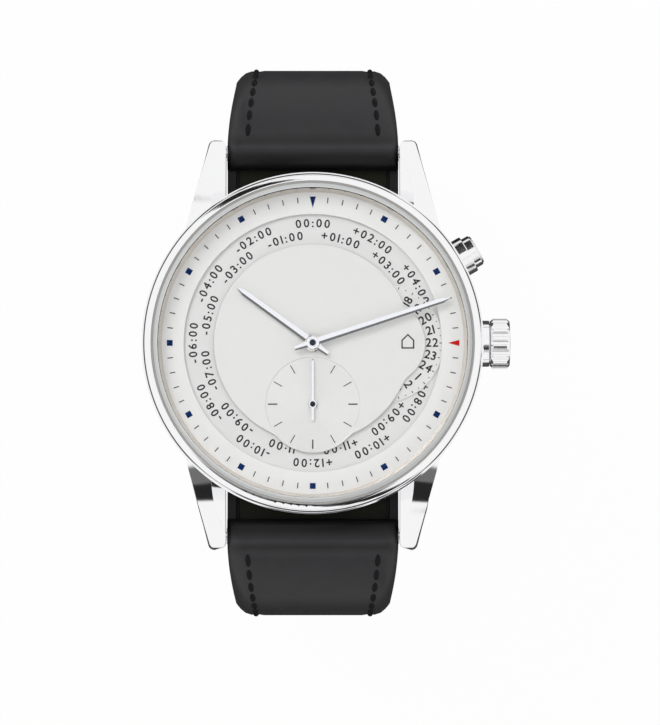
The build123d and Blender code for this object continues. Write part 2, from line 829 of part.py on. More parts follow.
def crown():
    """Fluted crown with a slightly domed end."""
    corners = []
    shares = [(-0.34, 0), (-0.14, 1), (0.14, 1), (0.34, 0)]
    for flute in range(crown_flutes):
        for share, depth in shares:
            angle = 360 * (flute + share) / crown_flutes
            corners.append(polar(crown_radius - depth * crown_flute_depth, angle))
    fluted = extrude(make_face(Polyline(*corners, close=True)), amount=crown_length + crown_dome)
    edge = crown_radius - crown_chamfer
    envelope = turned([
        (0, 0), (edge, 0), (crown_radius, crown_chamfer), (crown_radius, crown_length - crown_chamfer),
        (edge, crown_length), (0, crown_length + crown_dome)])
    body = fluted & envelope
    body = body - Cylinder(crown_bore_radius, crown_bore_depth, align=upright)
    body = Pos(crown_start, 0, crown_height) * Rot(0, 90, 0) * body
    return body - radial(stem_radius + fit_gap / 2, crown_start, crown_start + crown_bore_depth + stem_radius, 0,
                         crown_height)


def winding_stem():
    """Stem with its winding pinion, screwed into the crown."""
    end = crown_start + crown_bore_depth + stem_radius
    body = radial(stem_radius, stem_start, end - fit_gap, 0, crown_height)
    pinion_end = winding_pinion_start + winding_pinion_length
    return body + radial(winding_pinion_radius, winding_pinion_start, pinion_end, 0, crown_height)


def crown_seal():
    """Sealing ring that rides in the crown's bore and slides on the tube."""
    outer = radial(crown_bore_radius - running_gap, seal_start, seal_start + seal_width, 0, crown_height)
    return outer - radial(crown_tube_radius + running_gap, seal_start - overrun, seal_start + overrun, 0, crown_height)


def pusher_tube():
    """Pusher's guide tube with the stepped collar outside the case."""
    body = radial(pusher_collar_radius, pusher_collar_start, pusher_collar_end, pusher_angle, crown_height)
    body = body + radial(pusher_tube_radius, pusher_tube_start, pusher_collar_start, pusher_angle, crown_height)
    body = body - radial(pusher_cap_radius + running_gap, pusher_spring_start - pusher_spring_wire,
                         pusher_collar_end + overrun, pusher_angle, crown_height)
    return body - radial(pusher_pin_radius + running_gap, pusher_tube_start - overrun, pusher_collar_end,
                         pusher_angle, crown_height)


def pusher_button():
    """Round pusher with its pin and the clip that keeps it in."""
    cap = radial(pusher_cap_radius, pusher_cap_start, pusher_cap_end - pusher_edge, pusher_angle, crown_height)
    face = radial(pusher_cap_radius - pusher_edge, pusher_cap_end - pusher_edge, pusher_cap_end, pusher_angle,
                  crown_height)
    pin = radial(pusher_pin_radius, pusher_pin_start, pusher_cap_start, pusher_angle, crown_height)
    clip = radial(pusher_tube_radius, pusher_tube_start - pusher_spring_wire, pusher_tube_start - fit_gap,
                  pusher_angle, crown_height)
    return cap + face + pin + clip


def pusher_spring():
    """Return spring between the tube's floor and the button, a few flat turns."""
    floor = pusher_spring_start - pusher_spring_wire
    span = pusher_cap_start - floor
    step = span / (2 * pusher_spring_turns)
    body = Part()
    for turn in range(pusher_spring_turns):
        start = floor + step * (2 * turn + 0.5)
        outer = radial(pusher_spring_radius, start, start + step, pusher_angle, crown_height)
        hole = radial(pusher_spring_radius - step, start - overrun, start + overrun, pusher_angle, crown_height)
        body = body + (outer - hole)
    return body


# Movement

def mainplate():
    """Plate that carries the train, slotted for the stem."""
    body = disc(plate_radius, plate_low, plate_high)
    body = body - block(plate_radius - stem_start + overrun, 2 * (winding_pinion_radius + running_gap),
                        plate_low - overrun, crown_height + winding_pinion_radius + running_gap,
                        ((plate_radius + stem_start) / 2, 0))
    body = body - disc(cannon_radius + running_gap, plate_low - overrun, plate_high + overrun)
    return body - disc(fourth_arbor_radius + running_gap, plate_low - overrun, plate_high + overrun, fourth_place)


def bridge_cut():
    """Opening in the train bridge round balance and pallet fork."""
    cut = disc(balance_radius + bridge_step, 0, plate_low, balance_place)
    cut = cut + disc(pallet_arm_length + fit_gap, 0, plate_low, pallet_place)
    outward = polar(bridge_radius, angle_between(centre_place, balance_place))
    cut = cut + disc(balance_radius + bridge_step, 0, plate_low, outward)
    return cut + disc(cock_foot_radius + cock_clear, 0, plate_low, cock_foot_place())


def train_bridge():
    """Three-quarter bridge over barrel and train, with bearings for the rotor and the winding wheels."""
    body = disc(bridge_radius, bridge_low, bridge_high) - bridge_cut()
    for place in (third_place, fourth_place, escape_place):
        body = body - disc(jewel_radius + fit_gap, bridge_low - overrun, bridge_low + jewel_thickness, place)
        body = body - disc(pivot_radius + running_gap, bridge_low - overrun, bridge_high + overrun, place)
    body = body - disc(barrel_arbor_radius + running_gap, 0, plate_low, barrel_place)
    for place in bridge_screw_places():
        body = body - disc(screw_head_radius + fit_gap, 0, bridge_low + screw_head_height, place)
    return body + ring(rotor_bearing_radius - running_gap, rotor_bearing_ring, rotor_web_high + running_gap, bridge_low)


def bridge_screw_places():
    """Centres of the bridge screws, as shares of the bridge's radius."""
    return [(bridge_radius * share_x, bridge_radius * share_y) for share_x, share_y in bridge_screw_shares]


def movement_screws():
    """Slotted screws that hold the bridge and the balance cock."""
    screws = Part()
    for place in bridge_screw_places() + [cock_foot_place()]:
        screws = screws + (
            disc(screw_head_radius, bridge_low, bridge_low + screw_head_height, place)
            - block(2 * screw_head_radius, fit_gap * 8, 0, bridge_low + screw_head_height / 3, place, screw_slot_turn))
    return screws


def train_jewels():
    """Bearing rings for third, fourth and escape wheel and the balance."""
    jewels = Part()
    for place in (third_place, fourth_place, escape_place, balance_place):
        jewels = jewels + ring(jewel_radius, jewel_bore, bridge_low, bridge_low + jewel_thickness, place)
    return jewels


def cock_foot_place():
    """Screw place of the balance cock, beside the balance's rim."""
    return polar(balance_radius + cock_foot_radius + cock_clear,
                 angle_between(centre_place, balance_place) - cock_turn, balance_place)


def balance_cock():
    """Cock across the balance, on a foot that stands on the mainplate."""
    foot = cock_foot_place()
    length = distance_between(balance_place, foot)
    middle = ((balance_place[0] + foot[0]) / 2, (balance_place[1] + foot[1]) / 2)
    body = block(length, cock_width / 2, cock_low, cock_high, middle, angle_between(balance_place, foot))
    body = body + disc(cock_width / 3, cock_low, cock_high, balance_place)
    body = body + disc(cock_foot_radius, cock_low, plate_low, foot)
    body = body + disc(arbor_radius, cock_high, hairspring_low, hairspring_stud_place())
    body = body - disc(jewel_radius + fit_gap, cock_low - overrun, cock_low + jewel_thickness, balance_place)
    body = body - disc(screw_head_radius + fit_gap, 0, bridge_low + screw_head_height, foot)
    return body - disc(pivot_radius + running_gap, 0, plate_low, balance_place)


def movement_ring():
    """Holder ring between movement and case, cut for stem and pusher."""
    body = ring(holder_outer_radius, holder_inner_radius, holder_low, dial_ledge_height - fit_gap)
    body = body - radial(winding_pinion_radius, holder_inner_radius - overrun, holder_outer_radius + overrun, 0,
                         crown_height)
    return body - radial(winding_pinion_radius, holder_inner_radius - overrun, holder_outer_radius + overrun,
                         pusher_angle, crown_height)


def barrel():
    """Mainspring barrel with its teeth, closed on its arbor's side."""
    body = disc(barrel_body_radius, barrel_low, barrel_high, barrel_place)
    body = body + toothed(barrel_teeth, barrel_module, barrel_tooth_low, barrel_high, barrel_place, barrel_phase)
    return body - disc(barrel_arbor_radius + running_gap, 0, plate_low, barrel_place)


def ratchet_wheel():
    """Ratchet wheel on the barrel arbor, outside the bridge."""
    body = toothed(ratchet_teeth, winding_module, winding_low, winding_high, barrel_place, ratchet_phase)
    return body + disc(barrel_arbor_radius, winding_high, plate_low - running_gap, barrel_place)


def crown_wheel():
    """Crown wheel that turns the ratchet wheel."""
    body = toothed(crown_wheel_teeth, winding_module, winding_low, winding_high, crown_wheel_place,
                   crown_wheel_phase)
    return body + disc(barrel_arbor_radius, winding_high, bridge_low - fit_gap, crown_wheel_place)


def click():
    """Spring-loaded click that keeps the ratchet wheel from turning back."""
    pivot = click_pivot()
    reach = ratchet_teeth * winding_module / 2 + winding_module + click_clear
    nose = polar(reach, 90 + barrel_direction - 25, barrel_place)
    middle = ((pivot[0] + nose[0]) / 2, (pivot[1] + nose[1]) / 2)
    body = block(distance_between(pivot, nose), click_width / 2, winding_low, winding_high, middle,
                 angle_between(pivot, nose))
    return body + disc(click_width, winding_low, bridge_low - fit_gap, pivot)


def click_pivot():
    """Place of the click's screw beside the ratchet wheel."""
    reach = ratchet_teeth * winding_module / 2 + winding_module + click_clear + click_width
    return polar(reach, 90 + barrel_direction + 10, barrel_place)


def centre_wheel():
    """Centre wheel with its pinion and the cannon pinion that carries the minute hand."""
    body = toothed(centre_teeth, train_module, centre_wheel_low, centre_wheel_high, centre_place, centre_phase)
    body = body + toothed(centre_pinion_teeth, barrel_module, centre_pinion_low, centre_pinion_high, centre_place,
                          centre_pinion_phase)
    body = body + disc(centre_arbor_radius, train_low, centre_wheel_high)
    body = body + disc(cannon_radius, centre_wheel_high, minute_hand_low + hand_thickness)
    return body + toothed(cannon_teeth, motion_module, cannon_low, cannon_high, centre_place, cannon_phase)


def geared_arbor(wheel, pinion, place, arbor, low, high):
    """Wheel and pinion on one arbor with a pivot at the bridge."""
    body = toothed(*wheel[0:2], wheel[2], wheel[3], place, wheel[4])
    body = body + toothed(*pinion[0:2], pinion[2], pinion[3], place, pinion[4])
    body = body + disc(arbor, train_low, high, place)
    return body + disc(pivot_radius, low, train_low, place)


def third_wheel():
    """Third wheel and pinion."""
    return geared_arbor(
        (third_teeth, train_module, third_wheel_low, third_wheel_high, third_phase),
        (third_pinion_teeth, train_module, third_pinion_low, third_pinion_high, third_pinion_phase),
        third_place, arbor_radius, bridge_low + fit_gap, plate_low - fit_gap)


def fourth_wheel():
    """Fourth wheel, whose long arbor carries the seconds hand."""
    return geared_arbor(
        (fourth_teeth, fourth_module, fourth_wheel_low, fourth_wheel_high, fourth_phase),
        (fourth_pinion_teeth, train_module, fourth_pinion_low, fourth_pinion_high, fourth_pinion_phase),
        fourth_place, fourth_arbor_radius, bridge_low + fit_gap, seconds_hand_low + seconds_hand_thickness)


def escape_wheel():
    """Escape wheel with pointed teeth and its pinion."""
    corners = []
    for tooth in range(escape_teeth):
        angle = 360 * tooth / escape_teeth
        corners.append(polar(escape_radius, angle, escape_place))
        corners.append(polar(escape_root_radius, angle + 180 / escape_teeth, escape_place))
    star = Pos(0, 0, escape_wheel_low) * extrude(
        make_face(Polyline(*corners, close=True)), amount=escape_wheel_high - escape_wheel_low)
    pinion = toothed(escape_pinion_teeth, fourth_module, escape_pinion_low, escape_pinion_high, escape_place,
                     escape_pinion_phase)
    arbor = disc(arbor_radius, train_low, plate_low - fit_gap, escape_place)
    return star + pinion + arbor + disc(pivot_radius, bridge_low + fit_gap, train_low, escape_place)


def pallet_fork():
    """Pallet fork: two pallet arms beside the escape wheel and a lever towards the balance."""
    to_wheel = angle_between(pallet_place, escape_place)
    to_balance = angle_between(pallet_place, balance_place)
    lever = balance_reach - pallet_lever_gap
    body = disc(pallet_arm_width, pallet_low, pallet_high, pallet_place)
    body = body + block(lever, pallet_arm_width, pallet_low, pallet_high,
                        polar(lever / 2, to_balance, pallet_place), to_balance)
    stone_edge = pallet_stone_reach - pallet_stone_width / 2
    stone_length = pallet_reach - math.sqrt((escape_radius + pallet_stone_gap)**2 - stone_edge**2)
    for turn in (90, -90):
        body = body + block(pallet_arm_length, pallet_arm_width, pallet_low, pallet_high,
                            polar(pallet_arm_length / 2, to_wheel + turn, pallet_place), to_wheel + turn)
        beside = polar(pallet_stone_reach, to_wheel + turn, pallet_place)
        body = body + block(stone_length, pallet_stone_width, pallet_low, pallet_high,
                            polar(stone_length / 2, to_wheel, beside), to_wheel)
    return body + disc(arbor_radius, pallet_bridge_high + fit_gap, plate_low - fit_gap, pallet_place)


def pallet_bridge():
    """Small bridge that holds the pallet fork's upper pivot."""
    foot = polar(pallet_bridge_length, pallet_bridge_direction, pallet_place)
    middle = ((pallet_place[0] + foot[0]) / 2, (pallet_place[1] + foot[1]) / 2)
    body = block(pallet_bridge_length, pallet_bridge_width, pallet_bridge_low, pallet_bridge_high, middle,
                 pallet_bridge_direction)
    body = body + disc(pallet_bridge_width / 2, pallet_bridge_low, pallet_bridge_high, pallet_place)
    body = body + disc(pallet_bridge_width / 2, pallet_bridge_low, plate_low, foot)
    return body


def balance_wheel():
    """Balance wheel with its arms, staff, roller and impulse pin."""
    body = ring(balance_radius, balance_radius - balance_rim_width, balance_low, balance_high, balance_place)
    for index in range(balance_arms):
        turn = 360 * index / balance_arms + balance_direction
        length = balance_radius - balance_rim_width / 2
        body = body + block(length, balance_arm_width, balance_low, balance_high,
                            polar(length / 2, turn, balance_place), turn)
    body = body + disc(balance_hub_radius, balance_low, balance_high, balance_place)
    body = body + disc(arbor_radius, hairspring_high, plate_low - fit_gap, balance_place)
    body = body + disc(pivot_radius, cock_low + fit_gap, hairspring_high, balance_place)
    body = body + disc(roller_radius, roller_low, roller_high, balance_place)
    pin = polar(roller_pin_reach, balance_direction + 180, balance_place)
    return body + disc(roller_pin_radius, roller_high, roller_pin_high, pin)


def hairspring():
    """Flat spiral between the balance and its cock, as a ribbon on half circles that ends under the stud."""
    with BuildSketch() as ribbon:
        with BuildLine() as route:
            for half in range(2 * hairspring_turns):
                start = hairspring_inner_radius + half * hairspring_pitch / 2
                end = start + hairspring_pitch / 2
                side = 1 - 2 * (half % 2)
                middle = (start - end) / 2 * side
                ThreePointArc((side * start, 0), (middle, side * (start + end) / 2), (-side * end, 0))
        trace(route.wires()[0], hairspring_width)
    spiral = extrude(ribbon.sketch, amount=hairspring_high - hairspring_low)
    direction = angle_between(balance_place, cock_foot_place())
    return Pos(balance_place[0], balance_place[1], hairspring_low) * Rot(0, 0, direction) * spiral


def hairspring_stud_place():
    """Place of the spiral's outer end."""
    reach = hairspring_inner_radius + hairspring_turns * hairspring_pitch
    return polar(reach, angle_between(balance_place, cock_foot_place()), balance_place)


def hour_wheel():
    """Hour wheel with its pipe and the wheel that drives the 24-hour disc."""
    body = toothed(hour_teeth, hour_module, hour_wheel_low, hour_wheel_high, centre_place, hour_phase)
    body = body + toothed(home_drive_teeth, home_module, home_drive_low, home_drive_high, centre_place,
                          home_drive_phase)
    body = body + disc(hour_pipe_outer, hour_wheel_low, hour_hand_low + hand_thickness)
    return body - disc(hour_pipe_inner + fit_gap, 0, glass_top_height)


def minute_wheel():
    """Minute wheel and pinion of the motion work."""
    body = toothed(minute_wheel_teeth, motion_module, cannon_low, cannon_high, minute_wheel_place,
                   minute_wheel_phase)
    body = body + toothed(minute_pinion_teeth, hour_module, minute_pinion_low, minute_pinion_high,
                          minute_wheel_place, minute_pinion_phase)
    return body + disc(arbor_radius, plate_high, minute_pinion_high, minute_wheel_place)


def rotor():
    """Half-round winding weight with a heavy rim, on a ball bearing."""
    web = disc(rotor_radius, rotor_web_low, rotor_web_high)
    rim = ring(rotor_radius, rotor_rim_inner, rotor_low, rotor_rim_high)
    edge = rotor_radius * rotor_open_share
    half = block(2 * rotor_radius + overrun, rotor_radius + overrun, 0, plate_low,
                 (0, (rotor_radius + overrun) / 2 - edge))
    body = (web + rim) & half
    body = body + disc(rotor_hub_radius, rotor_low, rotor_web_high)
    return body - disc(rotor_bearing_radius, 0, plate_low)


def rotor_bearing():
    """Bearing boss on the bridge with the rotor's screw."""
    return disc(rotor_bearing_radius - running_gap, rotor_low, rotor_web_high)


# Strap loop

def face_radius(reach, corner_reach, corner_height, corner_radius, start_height):
    """Radius of the side arc that is upright at its reach and touches the corner arc."""
    across = reach - corner_reach
    down = start_height - corner_height
    return (across**2 + down**2 - corner_radius**2) / (2 * (across - corner_radius))


def lean_angle(reach, corner_reach, corner_height, side_radius, start_height):
    """Angle below level at which the side arc meets the corner arc."""
    return math.degrees(math.atan2(start_height - corner_height, corner_reach - reach + side_radius))


short_shoulder_height = bar_height + strap_thickness / 2 - short_shoulder
long_shoulder_height = bar_height + strap_thickness / 2 - long_shoulder
short_corner_height = loop_floor + corner_radius_short
short_floor = loop_floor - strap_end_thickness
long_top = short_floor - layer_gap
long_floor = long_top - strap_end_thickness
long_corner_height = long_top + corner_radius_long


def loop_face(reach, corner_reach, corner_height, corner_radius, shoulder_height, mirrored):
    """Arcs of one strap face from above the spring bar down to the flat, as (centre, radius, start, sweep)."""
    side_radius = face_radius(reach, corner_reach, corner_height, corner_radius, shoulder_height)
    lean = lean_angle(reach, corner_reach, corner_height, side_radius, shoulder_height)
    arcs = [
        ((bar_reach, shoulder_height), reach - bar_reach, 90, -90),
        ((reach - side_radius, shoulder_height), side_radius, 0, -lean),
        ((corner_reach, corner_height), corner_radius, -lean, lean - 90)]
    if not mirrored:
        return arcs
    return [((-centre[0], centre[1]), radius, 180 - start, -sweep) for centre, radius, start, sweep in arcs]


def strap_taper(shoulder_height):
    """Wedge that narrows a strap half from its shoulder to the buckle."""
    wide = strap_width / 2
    narrow = strap_end_width / 2
    top = bar_height + strap_thickness
    bottom = long_floor - overrun
    outline = Polyline((-wide, top), (-wide, shoulder_height), (-narrow, loop_floor), (-narrow, bottom),
                       (narrow, bottom), (narrow, loop_floor), (wide, shoulder_height), (wide, top), close=True)
    face = make_face(Plane.XZ * outline)
    return extrude(face, amount=short_reach + overrun, both=True)


def rounded_edges(body, path):
    """Round a strap's edges that lie along its outer face."""
    line = Compound([Plane.YZ * edge for edge in path])
    edges = []
    for edge in body.edges():
        middle = edge.position_at(0.5)
        on_side = abs(middle.X) > strap_end_width / 2 - overrun
        if on_side and line.distance_to(Vertex(0, middle.Y, middle.Z)) < fit_gap:
            edges.append(edge)
    return fillet(edges, strap_edge_round)


def side_profile(inner, outer, lines):
    """Side profile of a strap half between its inner and outer path."""
    with BuildSketch(Plane.YZ) as side:
        with BuildLine():
            for edge in inner + outer + lines:
                add(edge)
        make_face()
    return side.sketch


def arc_edges(arcs):
    """Edges for arcs given as (centre, radius, start, sweep)."""
    return [CenterArc(centre, radius, start, sweep) for centre, radius, start, sweep in arcs]


def tail_arcs(radius_gain, end_angle):
    """Arcs of a tail face that follows the short half's outer face at a distance."""
    corner = corner_radius_short + strap_end_thickness
    side_radius = face_radius(short_reach, corner_reach_short, short_corner_height, corner, short_shoulder_height)
    lean = lean_angle(short_reach, corner_reach_short, short_corner_height, side_radius, short_shoulder_height)
    return [
        ((corner_reach_short, short_corner_height), corner + radius_gain, -90, 90 - lean),
        ((short_reach - side_radius, short_shoulder_height), side_radius + radius_gain, -lean, lean - end_angle)]


def cross_rod(radius, length, reach, height):
    """Rod across the strap."""
    return Pos(0, reach, height) * Rot(0, 90, 0) * Cylinder(radius, length)


def strap_blank(inner, outer, lines, reach, shoulder_height):
    """Strap half before punching: tapered, with rounded outer edges and a roll round its spring bar."""
    profile = side_profile(inner, outer, lines)
    body = rounded_edges(extrude(profile, amount=strap_width / 2, both=True), outer)
    body = body & strap_taper(shoulder_height)
    body = body + cross_rod(strap_thickness / 2, strap_width, reach, bar_height) + lining_lip(reach)
    return body - cross_rod(bar_radius + running_gap, strap_width + overrun, reach, bar_height)


def lining_lip(reach):
    """Flap of the lining that closes the gap between a strap's roll and the case back."""
    high = case_foot_height - lip_gap
    low = high - lip_thickness
    side = math.copysign(bar_reach - lip_root, reach)
    flap = block(strap_width, abs(side), low, high, (0, side / 2))
    return flap - disc(back_radius + lip_gap, low - overrun, high + overrun)


def strap_short():
    """Short strap half with its bores and the slot for the tongue's eye."""
    inner = arc_edges(loop_face(
        short_reach - strap_thickness, corner_reach_short, short_corner_height, corner_radius_short,
        short_shoulder_height, False))
    outer = arc_edges(loop_face(
        short_reach, corner_reach_short, short_corner_height, corner_radius_short + strap_end_thickness,
        short_shoulder_height, False))
    end_height = loop_floor - strap_end_thickness / 2
    inner.append(Line((corner_reach_short, loop_floor), (buckle_y, loop_floor)))
    outer.append(Line((corner_reach_short, short_floor), (buckle_y, short_floor)))
    lines = [
        Line((bar_reach, bar_height + strap_thickness / 2), (bar_reach, bar_height - strap_thickness / 2)),
        Line((buckle_y, loop_floor), (buckle_y, short_floor))]
    body = strap_blank(inner, outer, lines, bar_reach, short_shoulder_height)
    body = body + cross_rod(strap_end_thickness / 2, strap_end_width, buckle_y, end_height)
    body = body - cross_rod(buckle_bar_radius + running_gap, strap_end_width + overrun, buckle_y, end_height)
    slot = tongue_width + 2 * tongue_slot_gap
    depth = strap_end_thickness + 2 * overrun
    return body - Pos(0, buckle_y, end_height) * Box(slot, 2 * (tongue_eye_radius + tongue_slot_gap), depth)


def tail_cut(tip_height):
    """Two corners that come off the long half's tail and leave a point."""
    wide = strap_width / 2 + overrun
    point = tail_point_width / 2
    start = tip_height - tail_point_length
    above = tip_height + overrun
    outline = Polyline((point, tip_height), (wide, start), (wide, above), (point, above), close=True)
    reach = (corner_reach_short + short_reach) / 2
    corner = extrude(make_face(Plane(origin=(0, reach, 0), z_dir=(0, -1, 0)) * outline), amount=-short_reach)
    return corner + mirror(corner, Plane.YZ)


def strap_long():
    """Long strap half with the tongue's hole and two punched holes towards the lugs."""
    inner = arc_edges(loop_face(
        long_reach - strap_thickness, corner_reach_long, long_corner_height, corner_radius_long,
        long_shoulder_height, True))
    outer = arc_edges(loop_face(
        long_reach, corner_reach_long, long_corner_height, corner_radius_long + strap_end_thickness,
        long_shoulder_height, True))
    tail_inner = tail_arcs(layer_gap, tail_angle)
    centre, radius = tail_inner[1][0], tail_inner[1][1]
    tip_inner = polar(radius, -tail_angle, centre)
    tip_outer = polar(radius + strap_end_thickness, -tail_angle, centre)
    inner = inner + arc_edges(tail_inner)
    inner.append(Line((-corner_reach_long, long_top), (corner_reach_short, long_top)))
    outer = outer + arc_edges(tail_arcs(layer_gap + strap_end_thickness, tail_angle))
    outer.append(Line((-corner_reach_long, long_floor), (corner_reach_short, long_floor)))
    lines = [
        Line((-bar_reach, bar_height + strap_thickness / 2), (-bar_reach, bar_height - strap_thickness / 2)),
        Line(tip_inner, tip_outer)]
    body = strap_blank(inner, outer, lines, -bar_reach, long_shoulder_height) - tail_cut(tip_inner[1])
    slot = tongue_width + 2 * tongue_slot_gap
    hole_y = buckle_y - (tongue_dip_reach + tongue_rise_reach) / 2
    span = tongue_rise_reach - tongue_dip_reach + tongue_thickness + 2 * tongue_slot_gap
    depth = strap_end_thickness + 2 * overrun
    middle = (long_top + long_floor) / 2
    body = body - Pos(0, hole_y, middle) * Box(slot, span, depth)
    beyond = hole_pitch - (corner_reach_long + hole_y)
    for index in range(hole_count):
        turn = math.degrees((beyond + hole_pitch * index) / (corner_radius_long + strap_end_thickness / 2))
        drill = Cylinder(hole_radius, depth)
        place = Pos(0, -corner_reach_long, long_corner_height) * Rot(-turn, 0, 0)
        body = body - place * Pos(0, 0, -corner_radius_long - strap_end_thickness / 2) * drill
    return body


def spring_bars():
    """Two spring bars with their tips in the lugs, one node."""
    bars = Part()
    for reach in (bar_reach, -bar_reach):
        bar = cross_rod(bar_radius, lug_gap - 2 * bar_shoulder_gap, reach, bar_height)
        bars = bars + (bar + cross_rod(bar_tip_radius, lug_gap + 2 * bar_tip_length - fit_gap, reach, bar_height))
    return bars


def frame_inner_half():
    """Half the width between the buckle's arms."""
    return strap_end_width / 2 + buckle_side_gap


buckle_height = loop_floor - strap_end_thickness / 2
base_height = long_floor - keeper_gap - keeper_thickness
frame_end_y = buckle_y - buckle_length


def buckle_frame():
    """Steel frame: outer bar, two arms that rise to the hinge bar, and a notch for the tongue."""
    half = frame_inner_half()
    bar_top = base_height + buckle_bar_depth
    eye = buckle_eye_radius
    with BuildSketch(Plane.YZ) as side:
        with BuildLine():
            Polyline(
                (frame_end_y, base_height), (frame_end_y, bar_top), (buckle_y - eye / 2, buckle_height + eye),
                (buckle_y + eye, buckle_height + eye / 2), (buckle_y + eye, buckle_height - eye / 2),
                (buckle_y - buckle_length * 0.55, base_height), close=True)
        make_face()
        fillet(side.vertices(), buckle_corner)
    body = extrude(side.sketch, amount=half + buckle_arm_width, both=True)
    window_y = frame_end_y + buckle_depth
    body = body - Pos(0, window_y, base_height) * Box(
        2 * half, 2 * buckle_length, 2 * buckle_length, align=(Align.CENTER, Align.MIN, Align.CENTER))
    body = body - Pos(0, frame_end_y, bar_top) * Box(2 * half, 2 * buckle_depth + overrun, buckle_length,
                                                     align=upright)
    body = body - Pos(0, frame_end_y, base_height + tongue_notch_depth) * Box(
        tongue_width + 2 * tongue_slot_gap, 2 * buckle_depth + overrun, buckle_depth,
        align=(Align.CENTER, Align.CENTER, Align.MAX))
    return body - cross_rod(buckle_bar_radius + fit_gap, 3 * half, buckle_y, buckle_height)


def buckle_bar():
    """Hinge bar through frame, strap end and tongue."""
    return cross_rod(buckle_bar_radius, 2 * (frame_inner_half() + buckle_arm_width) - 2 * running_gap, buckle_y,
                     buckle_height)


def buckle_tongue():
    """Tongue that goes through the strap and lies in the frame's notch."""
    eye = cross_rod(tongue_eye_radius, tongue_width, buckle_y, buckle_height)
    rest_height = base_height + tongue_notch_depth - tongue_thickness / 2 - running_gap
    half = tongue_thickness / 2
    dip = (buckle_y - tongue_dip_reach, buckle_height - tongue_dip)
    rise = (buckle_y - tongue_rise_reach, rest_height)
    tip = (frame_end_y + buckle_depth / 4, rest_height)
    with BuildSketch(Plane.YZ) as side:
        with BuildLine():
            Polyline(
                (buckle_y, buckle_height + half), (dip[0], dip[1] + half), (dip[0] - half, dip[1]),
                (rise[0] - half / 2, rise[1] + half), (tip[0], tip[1] + half), (tip[0], tip[1] - half),
                (rise[0], rise[1] - half), (dip[0] + half, dip[1] - half), (buckle_y, buckle_height - half),
                close=True)
        make_face()
    shank = extrude(side.sketch, amount=tongue_width / 2, both=True)
    return (eye + shank) - cross_rod(buckle_bar_radius + running_gap, strap_width, buckle_y, buckle_height)


def keeper_loop():
    """Leather loop round both strap layers, upright at the origin, with its outer face on 0."""
    inner_width = strap_end_width + 2 * keeper_gap
    inner_depth = loop_floor - long_floor + 2 * keeper_gap
    outer_depth = inner_depth + 2 * keeper_thickness
    outer = Box(inner_width + 2 * keeper_thickness, keeper_width, outer_depth, align=upright)
    outer = fillet(outer.edges().filter_by(Axis.Y), keeper_round)
    window = Box(inner_width, keeper_width + overrun, inner_depth, align=upright)
    return outer - Pos(0, 0, keeper_thickness) * window


def fixed_keeper():
    """Fixed keeper beside the buckle."""
    return Pos(0, fixed_keeper_y, base_height) * keeper_loop()


def free_keeper():
    """Free keeper on the strap's corner, set round the corner's centre."""
    place = Pos(0, corner_reach_short, short_corner_height) * Rot(free_keeper_angle, 0, 0)
    return place * Pos(0, 0, base_height - short_corner_height) * keeper_loop()


nodes = {
    "case_middle": case_middle,
    "bezel": bezel,
    "front_crystal": front_glass,
    "crystal_gasket": front_gasket,
    "inner_flange": inner_flange,
    "case_back": case_back,
    "back_crystal": lambda: disc(back_glass_radius, 0, back_glass_thickness - fit_gap),
    "back_crystal_gasket": lambda: ring(
        back_seat_radius - fit_gap, back_glass_radius + fit_gap, 0, back_glass_thickness - fit_gap),
    "case_back_seal": lambda: ring(
        movement_bore_radius - fit_gap, back_spigot_radius + fit_gap, case_foot_height + fit_gap, back_spigot_height),
    "case_back_screws": case_back_screws,
    "movement_ring": movement_ring,
    "crown_tube": crown_tube,
    "crown_seal": crown_seal,
    "crown": crown,
    "winding_stem": winding_stem,
    "pusher_tube": pusher_tube,
    "pusher_button": pusher_button,
    "pusher_spring": pusher_spring,
    "dial_plate": dial_plate,
    "city_ring": city_ring,
    "home_time_disc": home_time_disc,
    "central_dial": central_dial,
    "module_plate": module_plate,
    "hour_hand": hour_hand,
    "minute_hand": minute_hand,
    "seconds_hand": seconds_hand,
    "mainplate": mainplate,
    "train_bridge": train_bridge,
    "train_jewels": train_jewels,
    "movement_screws": movement_screws,
    "barrel": barrel,
    "ratchet_wheel": ratchet_wheel,
    "crown_wheel": crown_wheel,
    "click": click,
    "centre_wheel": centre_wheel,
    "third_wheel": third_wheel,
    "fourth_wheel": fourth_wheel,
    "escape_wheel": escape_wheel,
    "pallet_fork": pallet_fork,
    "pallet_bridge": pallet_bridge,
    "balance_wheel": balance_wheel,
    "hairspring": hairspring,
    "balance_cock": balance_cock,
    "hour_wheel": hour_wheel,
    "minute_wheel": minute_wheel,
    "rotor": rotor,
    "rotor_bearing": rotor_bearing,
    "spring_bars": spring_bars,
    "strap_short": strap_short,
    "strap_long": strap_long,
    "buckle_frame": buckle_frame,
    "buckle_bar": buckle_bar,
    "buckle_tongue": buckle_tongue,
    "fixed_keeper": fixed_keeper,
    "free_keeper": free_keeper,
}

os.makedirs("parts", exist_ok=True)
for name, make in nodes.items():
    export_step(make(), f"parts/{name}.step")
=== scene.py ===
import bmesh
import bpy
import json
import math
from mathutils import Matrix, Vector


